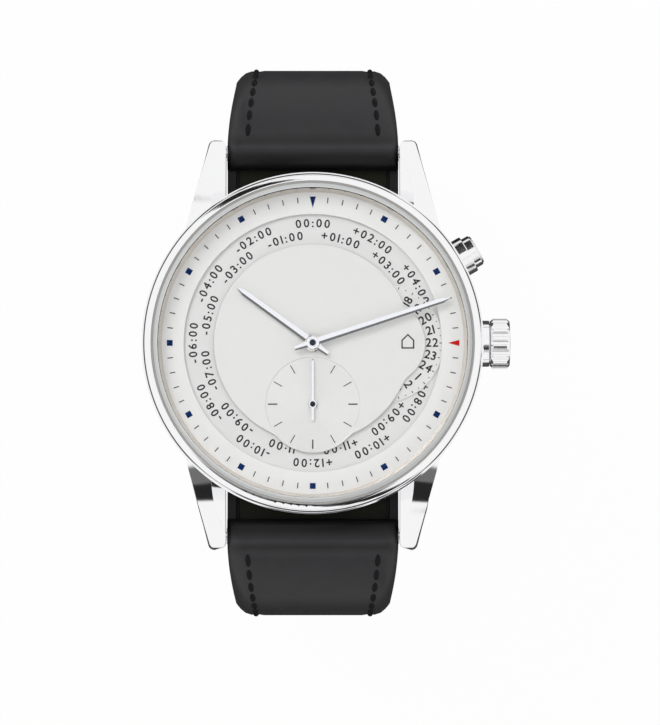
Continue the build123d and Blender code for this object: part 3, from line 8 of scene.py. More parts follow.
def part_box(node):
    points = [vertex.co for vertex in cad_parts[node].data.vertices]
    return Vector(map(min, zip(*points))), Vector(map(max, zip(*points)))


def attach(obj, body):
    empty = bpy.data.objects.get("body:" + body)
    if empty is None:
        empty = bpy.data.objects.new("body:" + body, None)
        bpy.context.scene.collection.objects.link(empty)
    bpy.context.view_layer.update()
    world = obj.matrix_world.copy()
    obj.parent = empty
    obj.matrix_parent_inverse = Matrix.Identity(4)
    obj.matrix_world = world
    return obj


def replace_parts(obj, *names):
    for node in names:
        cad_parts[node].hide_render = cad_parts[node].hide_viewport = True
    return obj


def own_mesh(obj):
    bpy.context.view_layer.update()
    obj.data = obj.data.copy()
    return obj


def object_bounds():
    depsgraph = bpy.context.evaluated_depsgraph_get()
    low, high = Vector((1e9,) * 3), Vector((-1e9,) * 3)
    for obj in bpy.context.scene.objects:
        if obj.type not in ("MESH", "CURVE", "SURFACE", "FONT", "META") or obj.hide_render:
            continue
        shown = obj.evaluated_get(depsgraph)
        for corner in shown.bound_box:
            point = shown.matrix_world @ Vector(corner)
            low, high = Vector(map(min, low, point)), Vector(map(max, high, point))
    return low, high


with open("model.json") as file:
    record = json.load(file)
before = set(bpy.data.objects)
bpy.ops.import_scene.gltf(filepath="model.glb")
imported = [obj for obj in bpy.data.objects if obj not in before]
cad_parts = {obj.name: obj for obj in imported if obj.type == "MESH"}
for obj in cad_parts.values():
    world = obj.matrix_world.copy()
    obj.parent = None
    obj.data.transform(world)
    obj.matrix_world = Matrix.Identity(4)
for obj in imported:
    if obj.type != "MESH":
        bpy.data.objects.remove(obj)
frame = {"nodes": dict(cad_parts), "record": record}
cad_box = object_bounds()
MM = 0.001
BODY_OF = {node: body for body, nodes in frame["record"]["behaviour"]["bodies"].items() for node in nodes}

# Merging distance in millimetres and the angles taken as flat and as sharp
merge_distance, flat_angle, sharp_angle = 0.0005, 0.5, 28.0

# Dial layout in millimetres
home_axis = Vector((8.28, 0.0))
seconds_axis = Vector((0.0, -7.12))
seconds_floor_radius, seconds_floor_depth, seconds_groove_rate = 5.47, 0.1, 38.0
minute_step, hour_step, zone_step = 6, 30, 15
minute_tick_inner, minute_tick_outer, minute_tick_width = 16.35, 17.0, 0.12
hour_square_radius, hour_square_side = 16.63, 0.68
arrow_outer, arrow_inner, arrow_width = 17.05, 15.72, 0.72
zone_outer_radius, zone_inner_radius, zone_letter, zone_spacing = 13.92, 12.5, 0.98, 0.3
home_number_radius, home_letter, home_spacing = 5.57, 1.02, 0.12
home_dash_inner, home_dash_outer, home_dash_width = 6.45, 6.72, 0.1
home_dot_radius, home_dot_size, home_dot_angle, home_at_east = 6.6, 0.14, 7.5, 22
seconds_tick_inner, seconds_tick_outer = 4.12, 5.2
seconds_tick_width, quarter_tick_width = 0.1, 0.15
house_at, house_width, house_height, house_wall, house_line = Vector((11.05, 0.2)), 1.5, 1.74, 1.0, 0.16
letter_scale, letter_weight, print_thickness = 1.38, 0.028, 0.012

# Glass: width of its ground edge and how far below the bezel's top that edge ends
ground_width, ground_drop = 0.52, 0.3

# Lugs: how far their foot stands out, and where their outer sides, roots, ends and feet lie
lug_draft, lug_side, lug_root, lug_end, lug_foot = 0.2, 11.0, 15.5, 23.0, 1.7

# Hands in millimetres: reach, tail, half-width at hub, tip and tail, point; and their angles from 12 o'clock
hand_sizes = {
    "hour_hand": (10.85, 2.2, 0.42, 0.36, 0.25, 0.9),
    "minute_hand": (16.8, 2.2, 0.4, 0.3, 0.24, 0.9),
    "seconds_hand": (5.1, 1.9, 0.15, 0.12, 0.13, 0.12)}
hand_angles = {"hour_hand": 306, "minute_hand": 72, "seconds_hand": 0}
hand_flat_share, hand_slope, hand_tip_half = 0.3, 8.0, 0.05
hand_thickness, hand_full_half = 0.24, 0.4

# Hubs of the hands in millimetres: radius, rim's bevel, and cap and pin on top
hour_hub_radius, hour_hub_drop, minute_hub_radius, seconds_hub_radius = 1.05, 0.02, 0.86, 0.55
hub_bevel, seconds_hub_bevel = 0.13, 0.1
minute_cap, minute_pin, seconds_cap, seconds_pin = 0.52, 0.36, 0.36, 0.3
cap_rise, cap_bevel, pin_gap, pin_dome, pin_crown_share = 0.06, 0.04, 0.02, 0.07, 0.55

# Strap path in millimetres
bar_reach, bar_height = 22.5, 2.0
strap_width, strap_end_width = 20.1, 18.0
strap_thickness, strap_end_thickness = 4.0, 2.2
short_reach, long_reach = 33.0, 31.9
loop_floor, layer_gap = -42.0, 0.25
corner_short, corner_radius_short = 11.2, 15.5
corner_long, corner_radius_long = 9.6, 15.8
shoulder_length, shoulder_narrowing, taper_share = 14.0, 0.9, 0.8
tail_angle = 17.0
tail_point_length, tail_point_width, tail_cut_near, tail_cut_far, tail_cut_high = 9.0, 6.0, 21.0, 45.0, 3.0

# Strap's face in millimetres, padded and plain: edge's slope and foot, then creases, groove and lining
padded_slope, plain_slope, padded_foot, plain_foot, edge_curve = 2.1, 0.9, 0.64, 0.72, 2.2
padding_margin, padding_fall, padding_start = 0.2, 1.4, 3.0
valley_depth, valley_at, valley_width, valley_edge = 0.36, 1.4, 0.6, 1.2
groove_depth, groove_width, thinnest = 0.16, 0.42, 0.02
lining_lift_share, lining_lift, lining_lift_width = 0.25, 0.35, 0.5
weld, fold_angle, leather_fill = 0.03, 50.0, 0.9

# Holes in millimetres: the row of small holes, and the slots for the buckle's bar and tongue
hole_pitch, hole_radius, first_hole_y = 6.5, 1.0, -7.1
buckle_y, slot_half_width = -3.0, 1.05
bar_slot_low, bar_slot_high = (buckle_y - 1.4, -46.0), (buckle_y + 1.35, -40.0)
tongue_slot_low, tongue_slot_high = (-9.0, -48.0), (-5.2, -43.0)

# Lining's lip: its edges and heights, and its folded border as distances from the edge with their rise
lip_inner_radius, lip_end, lip_low, lip_high, lip_plain_rise = 18.5, 21.5, 0.3, 1.2, -0.03
lip_border = ((0.0, -0.12), (0.08, 0.0), (1.0, 0.0), (1.08, -0.14), (1.39, -0.14), (1.45, lip_plain_rise))

# Stitches in millimetres
stitch_inset, stitch_pitch, stitch_length, stitch_width = 2.35, 1.75, 1.55, 0.7
stitch_sink, stitch_groove, stitch_slant, stitch_start, stitch_end = 0.09, 0.1, 0.16, 2.6, 14.0

# Keepers' rounded edges in millimetres and the least angle they round
keeper_bevel, keeper_angle = 0.35, 35.0

# Painted light on the leather at distances from the dial's axis: painted shade on the roll round the spring
# bar, a painted highlight on the crest, painted shade in the valley, then the plain face
painted_light_tones = [(20.5, 0.25), (21.8, 0.35), (22.4, 0.6), (23.0, 1.3), (23.5, 0.85), (23.9, 0.55),
              (24.8, 0.95), (27.0, 1.0)]

# Camera in millimetres
camera_distance, camera_tilt = 600.0, 2.0
view_width, sensor_width, view_centre, dial_level = 77.0, 36.0, (2.01, -2.275), 6.6
near_clip, far_clip = 10.0, 10000.0

# Floor in metres; lamps with their place and side in metres and their power in watts
floor_reach, floor_drop = 2.5, 0.0002
lamps = (("key", (-0.3, 0.36, 0.6), 0.3, 1.9), ("fill", (0.35, -0.3, 0.5), 0.3, 0.3))

# Studio's dark round flags: azimuth, elevation and radius in degrees; the soft card's edge and darkness too
flags = ((-83, 63, 7), (-74, 47, 8), (-69, 31, 9), (-63, 14, 9), (-58, 0, 8),
         (109, 61, 6), (111, 47, 9), (114, 32, 9), (118, 15, 9), (122, 0, 8))
soft_card = (-99, 70, 11, 4, 0.85)
flag_edge, horizon_edge, horizon_blend = 2, 3, 8

# Studio's light: strength for matt surfaces, in metal and glass, and in the darkest spot
diffuse_level, glossy_level, least_level = 0.79, 0.98, 0.02


def cosine(degrees):
    return math.cos(math.radians(degrees))


def sine(degrees):
    return math.sin(math.radians(degrees))


# Materials

def add_node(owner, kind, inputs=(), **settings):
    """Node of a material, world or geometry group; each input is a plain value or a socket to join."""
    tree = getattr(owner, "node_tree", owner)
    node = tree.nodes.new(kind)
    for name, value in settings.items():
        setattr(node, name, value)
    for name, value in dict(inputs).items():
        if isinstance(value, bpy.types.NodeSocket):
            tree.links.new(value, node.inputs[name])
        else:
            node.inputs[name].default_value = value
    return node


def finish(name, colour, roughness, metallic=0.0, sockets=()):
    """Principled material with its plain values set on the shader."""
    material = bpy.data.materials.new(name)
    material.use_nodes = True
    shader = shader_of(material)
    for socket, value in {"Base Color": (*colour, 1.0), "Roughness": roughness, "Metallic": metallic,
                          **dict(sockets)}.items():
        shader.inputs[socket].default_value = value
    return material


def shader_of(material):
    return material.node_tree.nodes["Principled BSDF"]


def feed(material, socket, value):
    """Lets a node's output set one of the shader's sockets."""
    material.node_tree.links.new(value, shader_of(material).inputs[socket])


def shaded(colour, level):
    return tuple(level * value for value in colour)


def position(owner, scale=(1, 1, 1), centre=(0, 0, 0)):
    """Object coordinates in millimetres from a centre, stretched along the axes."""
    coordinates = add_node(owner, "ShaderNodeTexCoord")
    return add_node(owner, "ShaderNodeMapping", {
        "Vector": coordinates.outputs["Object"], "Scale": [value / MM for value in scale],
        "Location": [-value * share for value, share in zip(centre, scale)]}).outputs["Vector"]


def noise(owner, scale, detail=4.0, roughness=0.55, vector=None):
    """Noise with a scale for each millimetre."""
    return add_node(owner, "ShaderNodeTexNoise", {
        "Vector": vector or position(owner), "Scale": scale, "Detail": detail,
        "Roughness": roughness}).outputs["Fac"]


def line_noise(owner, value, scale):
    """Noise along one value, for brushed and turned lines."""
    return add_node(owner, "ShaderNodeTexNoise", {"W": value, "Scale": scale, "Detail": 3},
                    noise_dimensions="1D").outputs["Fac"]


def ranged(owner, value, low, high, start=0.0, end=1.0, **settings):
    """A value's range from start to end, brought to low to high."""
    return add_node(owner, "ShaderNodeMapRange", {
        "Value": value, "From Min": start, "From Max": end, "To Min": low, "To Max": high},
        **settings).outputs["Result"]


def mixed_colour(owner, value, first, second):
    return add_node(owner, "ShaderNodeMix", {"Factor": value, "A": (*first, 1), "B": (*second, 1)},
                    data_type="RGBA").outputs["Result"]


def bump(owner, height, strength, distance=0.05, under=None):
    """Bump with a depth in millimetres, on top of another one where it is given."""
    inputs = {"Height": height, "Strength": strength, "Distance": distance * MM}
    if under:
        inputs["Normal"] = under
    return add_node(owner, "ShaderNodeBump", inputs).outputs["Normal"]


def arithmetic(owner, operation, *values):
    return add_node(owner, "ShaderNodeMath", dict(enumerate(values)), operation=operation).outputs["Value"]


def radius_from(owner, centre=(0, 0)):
    """Distance from an upright axis, in millimetres."""
    flat = position(owner, scale=(1, 1, 0), centre=(*centre, 0))
    return add_node(owner, "ShaderNodeVectorMath", {0: flat}, operation="LENGTH").outputs["Value"]


def grain(material, scale, strength, distance=0.05, detail=4.0, roughness=0.55, under=None):
    """Gives a material a noisy bump, and gives the noise back."""
    texture = noise(material, scale, detail, roughness)
    feed(material, "Normal", bump(material, texture, strength, distance, under))
    return texture


def polished_steel(name="polished_steel", colour=(0.91, 0.91, 0.92), roughness=0.05, waves=0.012):
    material = finish(name, colour, roughness, 1.0)
    haze = noise(material, 1.6)
    feed(material, "Roughness", ranged(material, haze, roughness * 0.7, roughness * 1.6))
    if waves:
        grain(material, 2.5, waves, detail=2.0)
    return material


def turned_steel():
    """Steel with fine concentric lathe lines."""
    roughness = 0.26
    material = finish("turned_steel", (0.7, 0.7, 0.7), roughness, 1.0)
    lines = line_noise(material, radius_from(material), 18.0)
    feed(material, "Roughness", ranged(material, lines, roughness * 0.7, roughness * 1.5))
    feed(material, "Normal", bump(material, lines, 0.12))
    return material


def striped_plate():
    """Rhodium plate with broad decorative stripes."""
    colour = (0.62, 0.6, 0.57)
    material = finish("striped_plate", colour, 0.28, 1.0)
    wave = add_node(material, "ShaderNodeTexWave", {
        "Vector": position(material, scale=(1, 1, 0)), "Scale": 0.13, "Distortion": 0.0},
        wave_type="BANDS", bands_direction="DIAGONAL", wave_profile="SAW").outputs["Fac"]
    lines = noise(material, 3.0, vector=position(material, scale=(2, 2, 0)))
    stripes = bump(material, wave, 0.25, 0.3)
    feed(material, "Normal", bump(material, lines, 0.05, under=stripes))
    feed(material, "Base Color", mixed_colour(material, wave, colour, shaded(colour, 0.8)))
    return material


def spotted_plate():
    """Plate with rows of small round grained spots."""
    roughness = 0.3
    material = finish("spotted_plate", (0.66, 0.62, 0.55), roughness, 1.0)
    spots = add_node(material, "ShaderNodeTexVoronoi", {
        "Vector": position(material, scale=(1, 1, 0)), "Scale": 0.9, "Randomness": 0.15},
        feature="F1").outputs["Distance"]
    feed(material, "Normal", bump(material, line_noise(material, spots, 9.0), 0.15))
    feed(material, "Roughness", ranged(material, spots, roughness * 0.8, roughness * 1.4))
    return material


def gilt_brass():
    material = finish("gilt_brass", (0.78, 0.58, 0.27), 0.28, 1.0)
    feed(material, "Normal", bump(material, line_noise(material, radius_from(material), 12.0), 0.06))
    tone = noise(material, 0.5)
    feed(material, "Base Color", mixed_colour(material, tone, (0.8, 0.6, 0.29), (0.7, 0.5, 0.22)))
    return material


def silvered(name, colour):
    """Matt silver-plated dial metal with a very fine grain."""
    material = finish(name, colour, 0.42, 0.25)
    grain(material, 22.0, 0.05, detail=2.0)
    tone = noise(material, 0.12, 2.0)
    feed(material, "Base Color", mixed_colour(material, tone, colour, shaded(colour, 0.97)))
    return material


def recessed_dial(colour):
    """Centre dial whose small seconds floor carries fine concentric grooves."""
    material = silvered("centre_dial_silver", colour)
    radius = radius_from(material, seconds_axis)
    inside = arithmetic(material, "LESS_THAN", radius, seconds_floor_radius)
    groove = arithmetic(material, "SINE", arithmetic(material, "MULTIPLY", radius, seconds_groove_rate))
    rings = bump(material, arithmetic(material, "MULTIPLY", groove, inside), 0.16, 0.03)
    grain(material, 22.0, 0.05, detail=2.0, under=rings)
    feed(material, "Roughness", ranged(material, inside, 0.42, 0.3))
    return material


def grained(name, colour, roughness, sockets, scale, strength, distance=0.05, detail=2.0):
    """Plain material with a fine bump: ink, paint, ground glass or rubber."""
    material = finish(name, colour, roughness, sockets=sockets)
    grain(material, scale, strength, distance, detail)
    return material


def ink(name, colour):
    """Deep pad-printed ink with little sheen."""
    return grained(name, colour, 0.35, {"Specular IOR Level": 0.08}, 30.0, 0.04)


def sapphire():
    """Clear glass that lets light through to the dial."""
    material = finish("sapphire", (1.0, 1.0, 1.0), 0.0, sockets={
        "Transmission Weight": 1.0, "IOR": 1.35, "Specular Tint": (0.06, 0.06, 0.07, 1.0)})
    clear = add_node(material, "ShaderNodeBsdfTransparent")
    path = add_node(material, "ShaderNodeLightPath")
    either = arithmetic(material, "MAXIMUM", path.outputs["Is Shadow Ray"], path.outputs["Is Diffuse Ray"])
    blend = add_node(material, "ShaderNodeMixShader", {
        "Fac": either, 1: shader_of(material).outputs["BSDF"], 2: clear.outputs["BSDF"]})
    material.node_tree.links.new(blend.outputs["Shader"],
                                 material.node_tree.nodes["Material Output"].inputs["Surface"])
    return material


def smooth_leather(name, sheen):
    """Black calf with fine pores, soft creases and a waxy sheen; its colour carries painted shade on the roll
    round the spring bar and in the valley behind it, and a painted highlight on the crest between.
    """
    material = finish(name, (0.022, 0.022, 0.024), 0.42, sockets={
        "Specular IOR Level": sheen, "Coat Weight": 0.03, "Coat Roughness": 0.3})
    place = position(material)
    pores = add_node(material, "ShaderNodeTexVoronoi", {"Vector": place, "Scale": 3.2}, feature="F1")
    creases = noise(material, 0.45, 6.0, 0.65, place)
    creased = bump(material, creases, 0.25, 0.12)
    porous = bump(material, pores.outputs["Distance"], 0.1, 0.05, creased)
    feed(material, "Normal", bump(material, noise(material, 6.0, 3.0, vector=place), 0.12, 0.03, porous))
    feed(material, "Roughness", ranged(material, creases, 0.36, 0.5))
    tone = mixed_colour(material, creases, (0.019, 0.019, 0.021), (0.03, 0.03, 0.032))
    # Painted shade and painted highlight by distance from the dial's axis, from the tones above
    parts = add_node(material, "ShaderNodeSeparateXYZ", {"Vector": place})
    reach = arithmetic(material, "ABSOLUTE", parts.outputs["Y"])
    start, end = painted_light_tones[0][0], painted_light_tones[-1][0]
    painted_light_ramp = add_node(material, "ShaderNodeValToRGB", {"Fac": ranged(material, reach, 0.0, 1.0, start, end)})
    for distance, level in painted_light_tones[1:-1]:
        painted_light_ramp.color_ramp.elements.new((distance - start) / (end - start))
    for element, (distance, level) in zip(painted_light_ramp.color_ramp.elements, painted_light_tones):
        element.color = (level, level, level, 1)
    painted_light_tone = add_node(material, "ShaderNodeVectorMath", {0: tone, 1: painted_light_ramp.outputs["Color"]},
                    operation="MULTIPLY")
    feed(material, "Base Color", painted_light_tone.outputs["Vector"])
    return material


def lining_leather():
    material = finish("strap_lining", (0.02, 0.019, 0.014), 0.6, sockets={"Specular IOR Level": 0.12})
    texture = grain(material, 1.5, 0.3, 0.1, 6.0, 0.7)
    feed(material, "Base Color", mixed_colour(material, texture, (0.012, 0.012, 0.008), (0.02, 0.02, 0.013)))
    return material


def waxed_thread():
    material = finish("waxed_thread", (0.004, 0.004, 0.005), 0.38, sockets={"Specular IOR Level": 0.14})
    twist = add_node(material, "ShaderNodeTexWave", {"Vector": position(material), "Scale": 2.2},
                     wave_type="BANDS", bands_direction="DIAGONAL")
    feed(material, "Normal", bump(material, twist.outputs["Fac"], 0.4, 0.06))
    return material


def ruby():
    material = finish("ruby", (0.55, 0.01, 0.08), 0.05, sockets={"Coat Weight": 1.0})
    tone = noise(material, 2.0)
    feed(material, "Base Color", mixed_colour(material, tone, (0.6, 0.01, 0.09), (0.4, 0.0, 0.05)))
    return material


steel = polished_steel()
fluted_steel = polished_steel("fluted_steel", (0.92, 0.92, 0.93), 0.12)
turned = turned_steel()
plate_steel = striped_plate()
grained_plate = spotted_plate()
brass = gilt_brass()
hand_steel = polished_steel("hand_steel", (0.88, 0.89, 0.93), 0.05, 0)
pin_steel = polished_steel("pin_steel", (0.035, 0.04, 0.055), 0.2)
movement_steel = polished_steel("movement_steel", (0.66, 0.66, 0.67), 0.18)
blued_steel = polished_steel("blued_screw", (0.05, 0.09, 0.35), 0.16)
# The outer dial's silver is set lighter than the other dial silvers: painted light that offsets the shade the
# bezel and flange cast on it
outer_silver_lightened = silvered("outer_dial_silver_lightened", (0.87, 0.87, 0.86))
ring_silver = silvered("ring_silver", (0.79, 0.79, 0.785))
disc_silver = silvered("disc_silver", (0.8, 0.8, 0.785))
centre_silver = recessed_dial((0.8, 0.8, 0.79))
flange_silver = polished_steel("flange_steel", (0.72, 0.67, 0.61), 0.14)
glass = sapphire()
ground = grained("ground_glass", (0.72, 0.73, 0.73), 0.35, {"Transmission Weight": 0.25}, 14.0, 0.06)
leather = smooth_leather("black_calf", 0.31)
rolled = smooth_leather("rolled_calf", 0.2)
lining = lining_leather()
edges = grained("edge_paint", (0.012, 0.012, 0.012), 0.35, {"Specular IOR Level": 0.2}, 0.8, 0.2, 0.1, 4.0)
thread = waxed_thread()
rubber = grained("gasket_rubber", (0.36, 0.355, 0.34), 0.5, {}, 6.0, 0.1, detail=4.0)
jewel = ruby()
dark_ink = ink("dark_ink", (0.04, 0.04, 0.041))
blue_ink = ink("blue_ink", (0.002, 0.022, 0.115))
red_ink = ink("red_ink", (0.6, 0.012, 0.008))


# Pieces

def add_object(name, data):
    new_object = bpy.data.objects.new(name, data)
    bpy.context.scene.collection.objects.link(new_object)
    return new_object


def add_piece(name, mesh, body):
    piece = add_object(name, mesh)
    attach(piece, body)
    return piece


def as_mesh(name, bm, materials):
    mesh = bpy.data.meshes.new(name)
    bm.to_mesh(mesh)
    bm.free()
    for material in materials:
        mesh.materials.append(material)
    return mesh


def shade(bm, angle):
    """Smooth shading with sharp edges from an angle on."""
    for face in bm.faces:
        face.smooth = True
    for edge in bm.edges:
        edge.smooth = len(edge.link_faces) == 2 and edge.calc_face_angle(0.0) <= math.radians(angle)


def closed_mesh(name, bm, materials, crease=None):
    """Mesh of a closed shape, its faces turned outwards and smooth up to a crease where one is given."""
    bmesh.ops.recalc_face_normals(bm, faces=bm.faces)
    if crease:
        shade(bm, crease)
    return as_mesh(name, bm, materials)


def vertex_at(bm, x, y, z):
    """Vertex at a place in millimetres."""
    return bm.verts.new((x * MM, y * MM, z * MM))


def shifted(x, y, z=0):
    """Shift by millimetres."""
    return Matrix.Translation((x * MM, y * MM, z * MM))


def turned_by(degrees):
    """Turn about an upright axis."""
    return Matrix.Rotation(math.radians(degrees), 4, "Z")


def bridge(bm, first, second):
    """Faces between two closed rows of vertices; a row of one vertex repeated gives triangles."""
    faces = []
    for index in range(len(first)):
        following = (index + 1) % len(first)
        corners = (first[index], first[following], second[following], second[index])
        faces.append(bm.faces.new(list(dict.fromkeys(corners))))
    return faces


def cap_ends(bm, rows, material_index=0):
    for row in (rows[0], rows[-1]):
        bm.faces.new(row).material_index = material_index


def baked(holder):
    """Plain mesh of an object's evaluated geometry."""
    bpy.context.view_layer.update()
    graph = bpy.context.evaluated_depsgraph_get()
    return bpy.data.meshes.new_from_object(holder.evaluated_get(graph))


def mesh_from(data, group=None, values=()):
    """Plain mesh of a curve or mesh, put through a geometry group with its named inputs."""
    holder = add_object("source", data)
    if group:
        modifier = holder.modifiers.new("group", "NODES")
        modifier.node_group = group
        for item in group.interface.items_tree:
            if item.in_out == "INPUT" and item.name in values:
                modifier[item.identifier] = values[item.name]
    mesh = baked(holder)
    bpy.data.objects.remove(holder)
    return mesh


def paint(material, *nodes):
    for node in nodes:
        mesh = frame["nodes"][node].data
        mesh.materials.clear()
        mesh.materials.append(material)


def merged(node):
    """Copy of a CAD node with its corners merged and its flat faces joined."""
    bm = bmesh.new()
    bm.from_mesh(frame["nodes"][node].data)
    bmesh.ops.remove_doubles(bm, verts=bm.verts, dist=merge_distance * MM)
    bmesh.ops.dissolve_limit(bm, angle_limit=math.radians(flat_angle), verts=bm.verts, edges=bm.edges)
    return bm


def add_bevel(piece, width, angle, segments):
    modifier = piece.modifiers.new("edge", "BEVEL")
    modifier.width = width * MM
    modifier.segments = segments
    modifier.limit_method = "ANGLE"
    modifier.angle_limit = math.radians(angle)
    return modifier


def refined(node, material, crease=sharp_angle, bevel=0.0):
    """Smooth-shaded copy of a CAD node with small bevels on its sharp edges."""
    bm = merged(node)
    shade(bm, crease)
    for face in bm.faces:
        face.material_index = 0
    mesh = as_mesh(node + "_finished", bm, [material])
    if "custom_normal" in mesh.attributes:
        mesh.attributes.remove(mesh.attributes["custom_normal"])
    piece = add_piece(node + "_finished", mesh, BODY_OF[node])
    if bevel:
        add_bevel(piece, bevel, crease, 2).harden_normals = True
    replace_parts(piece, node)
    return piece


# Case, bands and movement

def draft_lugs(mesh):
    """Sets the foot of the lugs a little outwards, which gives them their dark outline."""
    for vertex in mesh.vertices:
        across, along, height = (value / MM for value in vertex.co)
        if abs(across) > lug_side and abs(along) > lug_root and height < lug_foot:
            vertex.co.x += math.copysign(lug_draft * MM, across)
            if abs(along) > lug_end:
                vertex.co.y += math.copysign(lug_draft * MM, along)


def grind_edge(mesh):
    """Gives the glass its finely ground edge, as a second material."""
    mesh.materials.append(ground)
    start = max(abs(vertex.co.x) for vertex in mesh.vertices) - ground_width * MM
    for polygon in mesh.polygons:
        if polygon.center.xy.length > start and polygon.center.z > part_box("bezel")[1].z - ground_drop * MM:
            polygon.material_index = 1


def finish_spring(spring):
    """Gives the pusher's spring a mesh of its own."""
    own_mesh(spring)


refined("bezel", steel)
draft_lugs(refined("case_middle", steel, bevel=0.12).data)
refined("crown", fluted_steel, bevel=0.08)
refined("crown_tube", fluted_steel, bevel=0.1)
refined("pusher_tube", fluted_steel, bevel=0.12)
refined("pusher_button", fluted_steel, bevel=0.1)
grind_edge(refined("front_crystal", glass, crease=12).data)
refined("back_crystal", glass)
refined("case_back", turned, bevel=0.05)
refined("inner_flange", flange_silver)
refined("buckle_frame", steel, bevel=0.08)
refined("buckle_bar", steel)
refined("buckle_tongue", steel, bevel=0.12)
refined("central_dial", centre_silver, bevel=0.09)
refined("dial_plate", outer_silver_lightened, bevel=0.04)
paint(ring_silver, "city_ring")
paint(disc_silver, "home_time_disc")
paint(rubber, "crystal_gasket", "back_crystal_gasket", "case_back_seal", "crown_seal")
paint(plate_steel, "train_bridge", "rotor", "balance_cock", "pallet_bridge", "rotor_bearing")
paint(grained_plate, "mainplate", "module_plate")
paint(brass, "centre_wheel", "third_wheel", "fourth_wheel", "barrel", "balance_wheel", "hour_wheel",
      "minute_wheel")
paint(movement_steel, "ratchet_wheel", "crown_wheel", "click", "escape_wheel", "pallet_fork", "winding_stem",
      "movement_ring", "spring_bars", "case_back_screws")
paint(blued_steel, "movement_screws", "hairspring")
paint(jewel, "train_jewels")
finish_spring(refined("pusher_spring", movement_steel, crease=60))


# Hands

def lathe_mesh(name, outline, kinds, centre, steps=48):
    """Turned mesh from (radius, height) points; kinds give each facet's material and smoothness."""
    bm = bmesh.new()
    rows = []
    for radius, height in outline:
        turns = [2 * math.pi * step / steps for step in range(steps if radius else 1)]
        row = [vertex_at(bm, centre[0] + radius * math.cos(turn), centre[1] + radius * math.sin(turn), height)
               for turn in turns]
        rows.append(row if radius else row * steps)
    for first, second, (material_index, smooth) in zip(rows, rows[1:], kinds):
        for face in bridge(bm, first, second):
            face.material_index, face.smooth = material_index, smooth
    return closed_mesh(name, bm, [hand_steel, pin_steel])


def hub_outline(radius, low, high, bevel=hub_bevel):
    """Corners of a plain hub with a bevelled rim."""
    return [(0, low), (radius, low), (radius, high - bevel), (radius - bevel, high)]


def cap_outline(rim, pin, high):
    """Corners of a cap with a small domed pin in its middle, on top of a hub."""
    return [(rim, high), (rim - cap_bevel, high + cap_rise), (pin + pin_gap, high + cap_rise),
            (pin, high + pin_gap), (pin * pin_crown_share, high + cap_rise), (0, high + pin_dome)]


def add_hub(name, node, outline, pin_facets=2):
    """Turned hub of a hand, its last facets in dark steel."""
    count = len(outline) - 1
    kinds = [(1, True) if index >= count - pin_facets else (0, False) for index in range(count)]
    centre = seconds_axis if node == "seconds_hand" else (0, 0)
    add_piece(name, lathe_mesh(name, outline, kinds, centre), BODY_OF[node])


def hand_blade(node, centre=(0, 0)):
    """Ridged hand of even width with a short point and a blunt tail, turned clockwise from 12 o'clock."""
    reach, tail, hub, tip, end, point = hand_sizes[node]
    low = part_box(node)[0].z / MM
    high = low + hand_thickness * min(hub / hand_full_half, 1.0) ** 0.5
    place = shifted(*centre) @ turned_by(-hand_angles[node])
    bm = bmesh.new()
    rows = []
    for along, half in ((-tail, end), (0, hub), (reach - point, tip), (reach, hand_tip_half)):
        flat = half * hand_flat_share
        edge = high - (half - flat) * math.tan(math.radians(hand_slope))
        corners = [(-half, low), (-half, edge), (-flat, high), (flat, high), (half, edge), (half, low)]
        rows.append([bm.verts.new(place @ (Vector((x, along, z)) * MM)) for x, z in corners])
    for first, second in zip(rows, rows[1:]):
        bridge(bm, first, second)
    cap_ends(bm, rows)
    name = node + "_blade"
    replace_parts(add_piece(name, closed_mesh(name, bm, [hand_steel]), BODY_OF[node]), node)
    return low, high


hour_low, hour_high = hand_blade("hour_hand")
minute_low, minute_high = hand_blade("minute_hand")
seconds_low, seconds_high = hand_blade("seconds_hand", seconds_axis)
hour_hub_top = hour_high - hour_hub_drop
add_hub("hour_hub", "hour_hand",
        hub_outline(hour_hub_radius, hour_low, hour_hub_top) + [(0, hour_hub_top)], 0)
add_hub("minute_hub", "minute_hand",
        hub_outline(minute_hub_radius, minute_low, minute_high)
        + cap_outline(minute_cap, minute_pin, minute_high))
add_hub("seconds_hub", "seconds_hand",
        hub_outline(seconds_hub_radius, seconds_low, seconds_high, seconds_hub_bevel)
        + cap_outline(seconds_cap, seconds_pin, seconds_high))


# Geometry groups

def open_group(name, inputs):
    """New geometry group with named inputs, and the sockets that bring them in."""
    group = bpy.data.node_groups.new(name, "GeometryNodeTree")
    for socket, way, kind in (("Geometry", "INPUT", "Geometry"),
                              *((socket, "INPUT", kind) for socket, kind in inputs.items()),
                              ("Geometry", "OUTPUT", "Geometry")):
        group.interface.new_socket(socket, in_out=way, socket_type="NodeSocket" + kind)
    return group, add_node(group, "NodeGroupInput").outputs


def close_group(group, points, shape, rotation, material):
    """Sets a shape on points, makes the copies real and paints them."""
    copies = add_node(group, "GeometryNodeInstanceOnPoints", {
        "Points": points, "Instance": shape, "Rotation": rotation})
    real = add_node(group, "GeometryNodeRealizeInstances", {"Geometry": copies.outputs["Instances"]})
    painted = add_node(group, "GeometryNodeSetMaterial", {
        "Geometry": real.outputs["Geometry"], "Material": material})
    add_node(group, "NodeGroupOutput", {"Geometry": painted.outputs["Geometry"]})
    return group


def marks_group():
    """Copies of a mark, turned about an axis by one step after another."""
    group, entry = open_group("marks_round_dial", {"Marks": "Int", "Step": "Float", "Ink": "Material"})
    line = add_node(group, "GeometryNodeMeshLine", {"Count": entry["Marks"], "Offset": (0, 0, 0)})
    index = add_node(group, "GeometryNodeInputIndex")
    turn = arithmetic(group, "MULTIPLY", index.outputs["Index"], entry["Step"])
    angles = add_node(group, "ShaderNodeCombineXYZ", {"Z": turn})
    return close_group(group, line.outputs["Mesh"], entry["Geometry"], angles.outputs["Vector"], entry["Ink"])


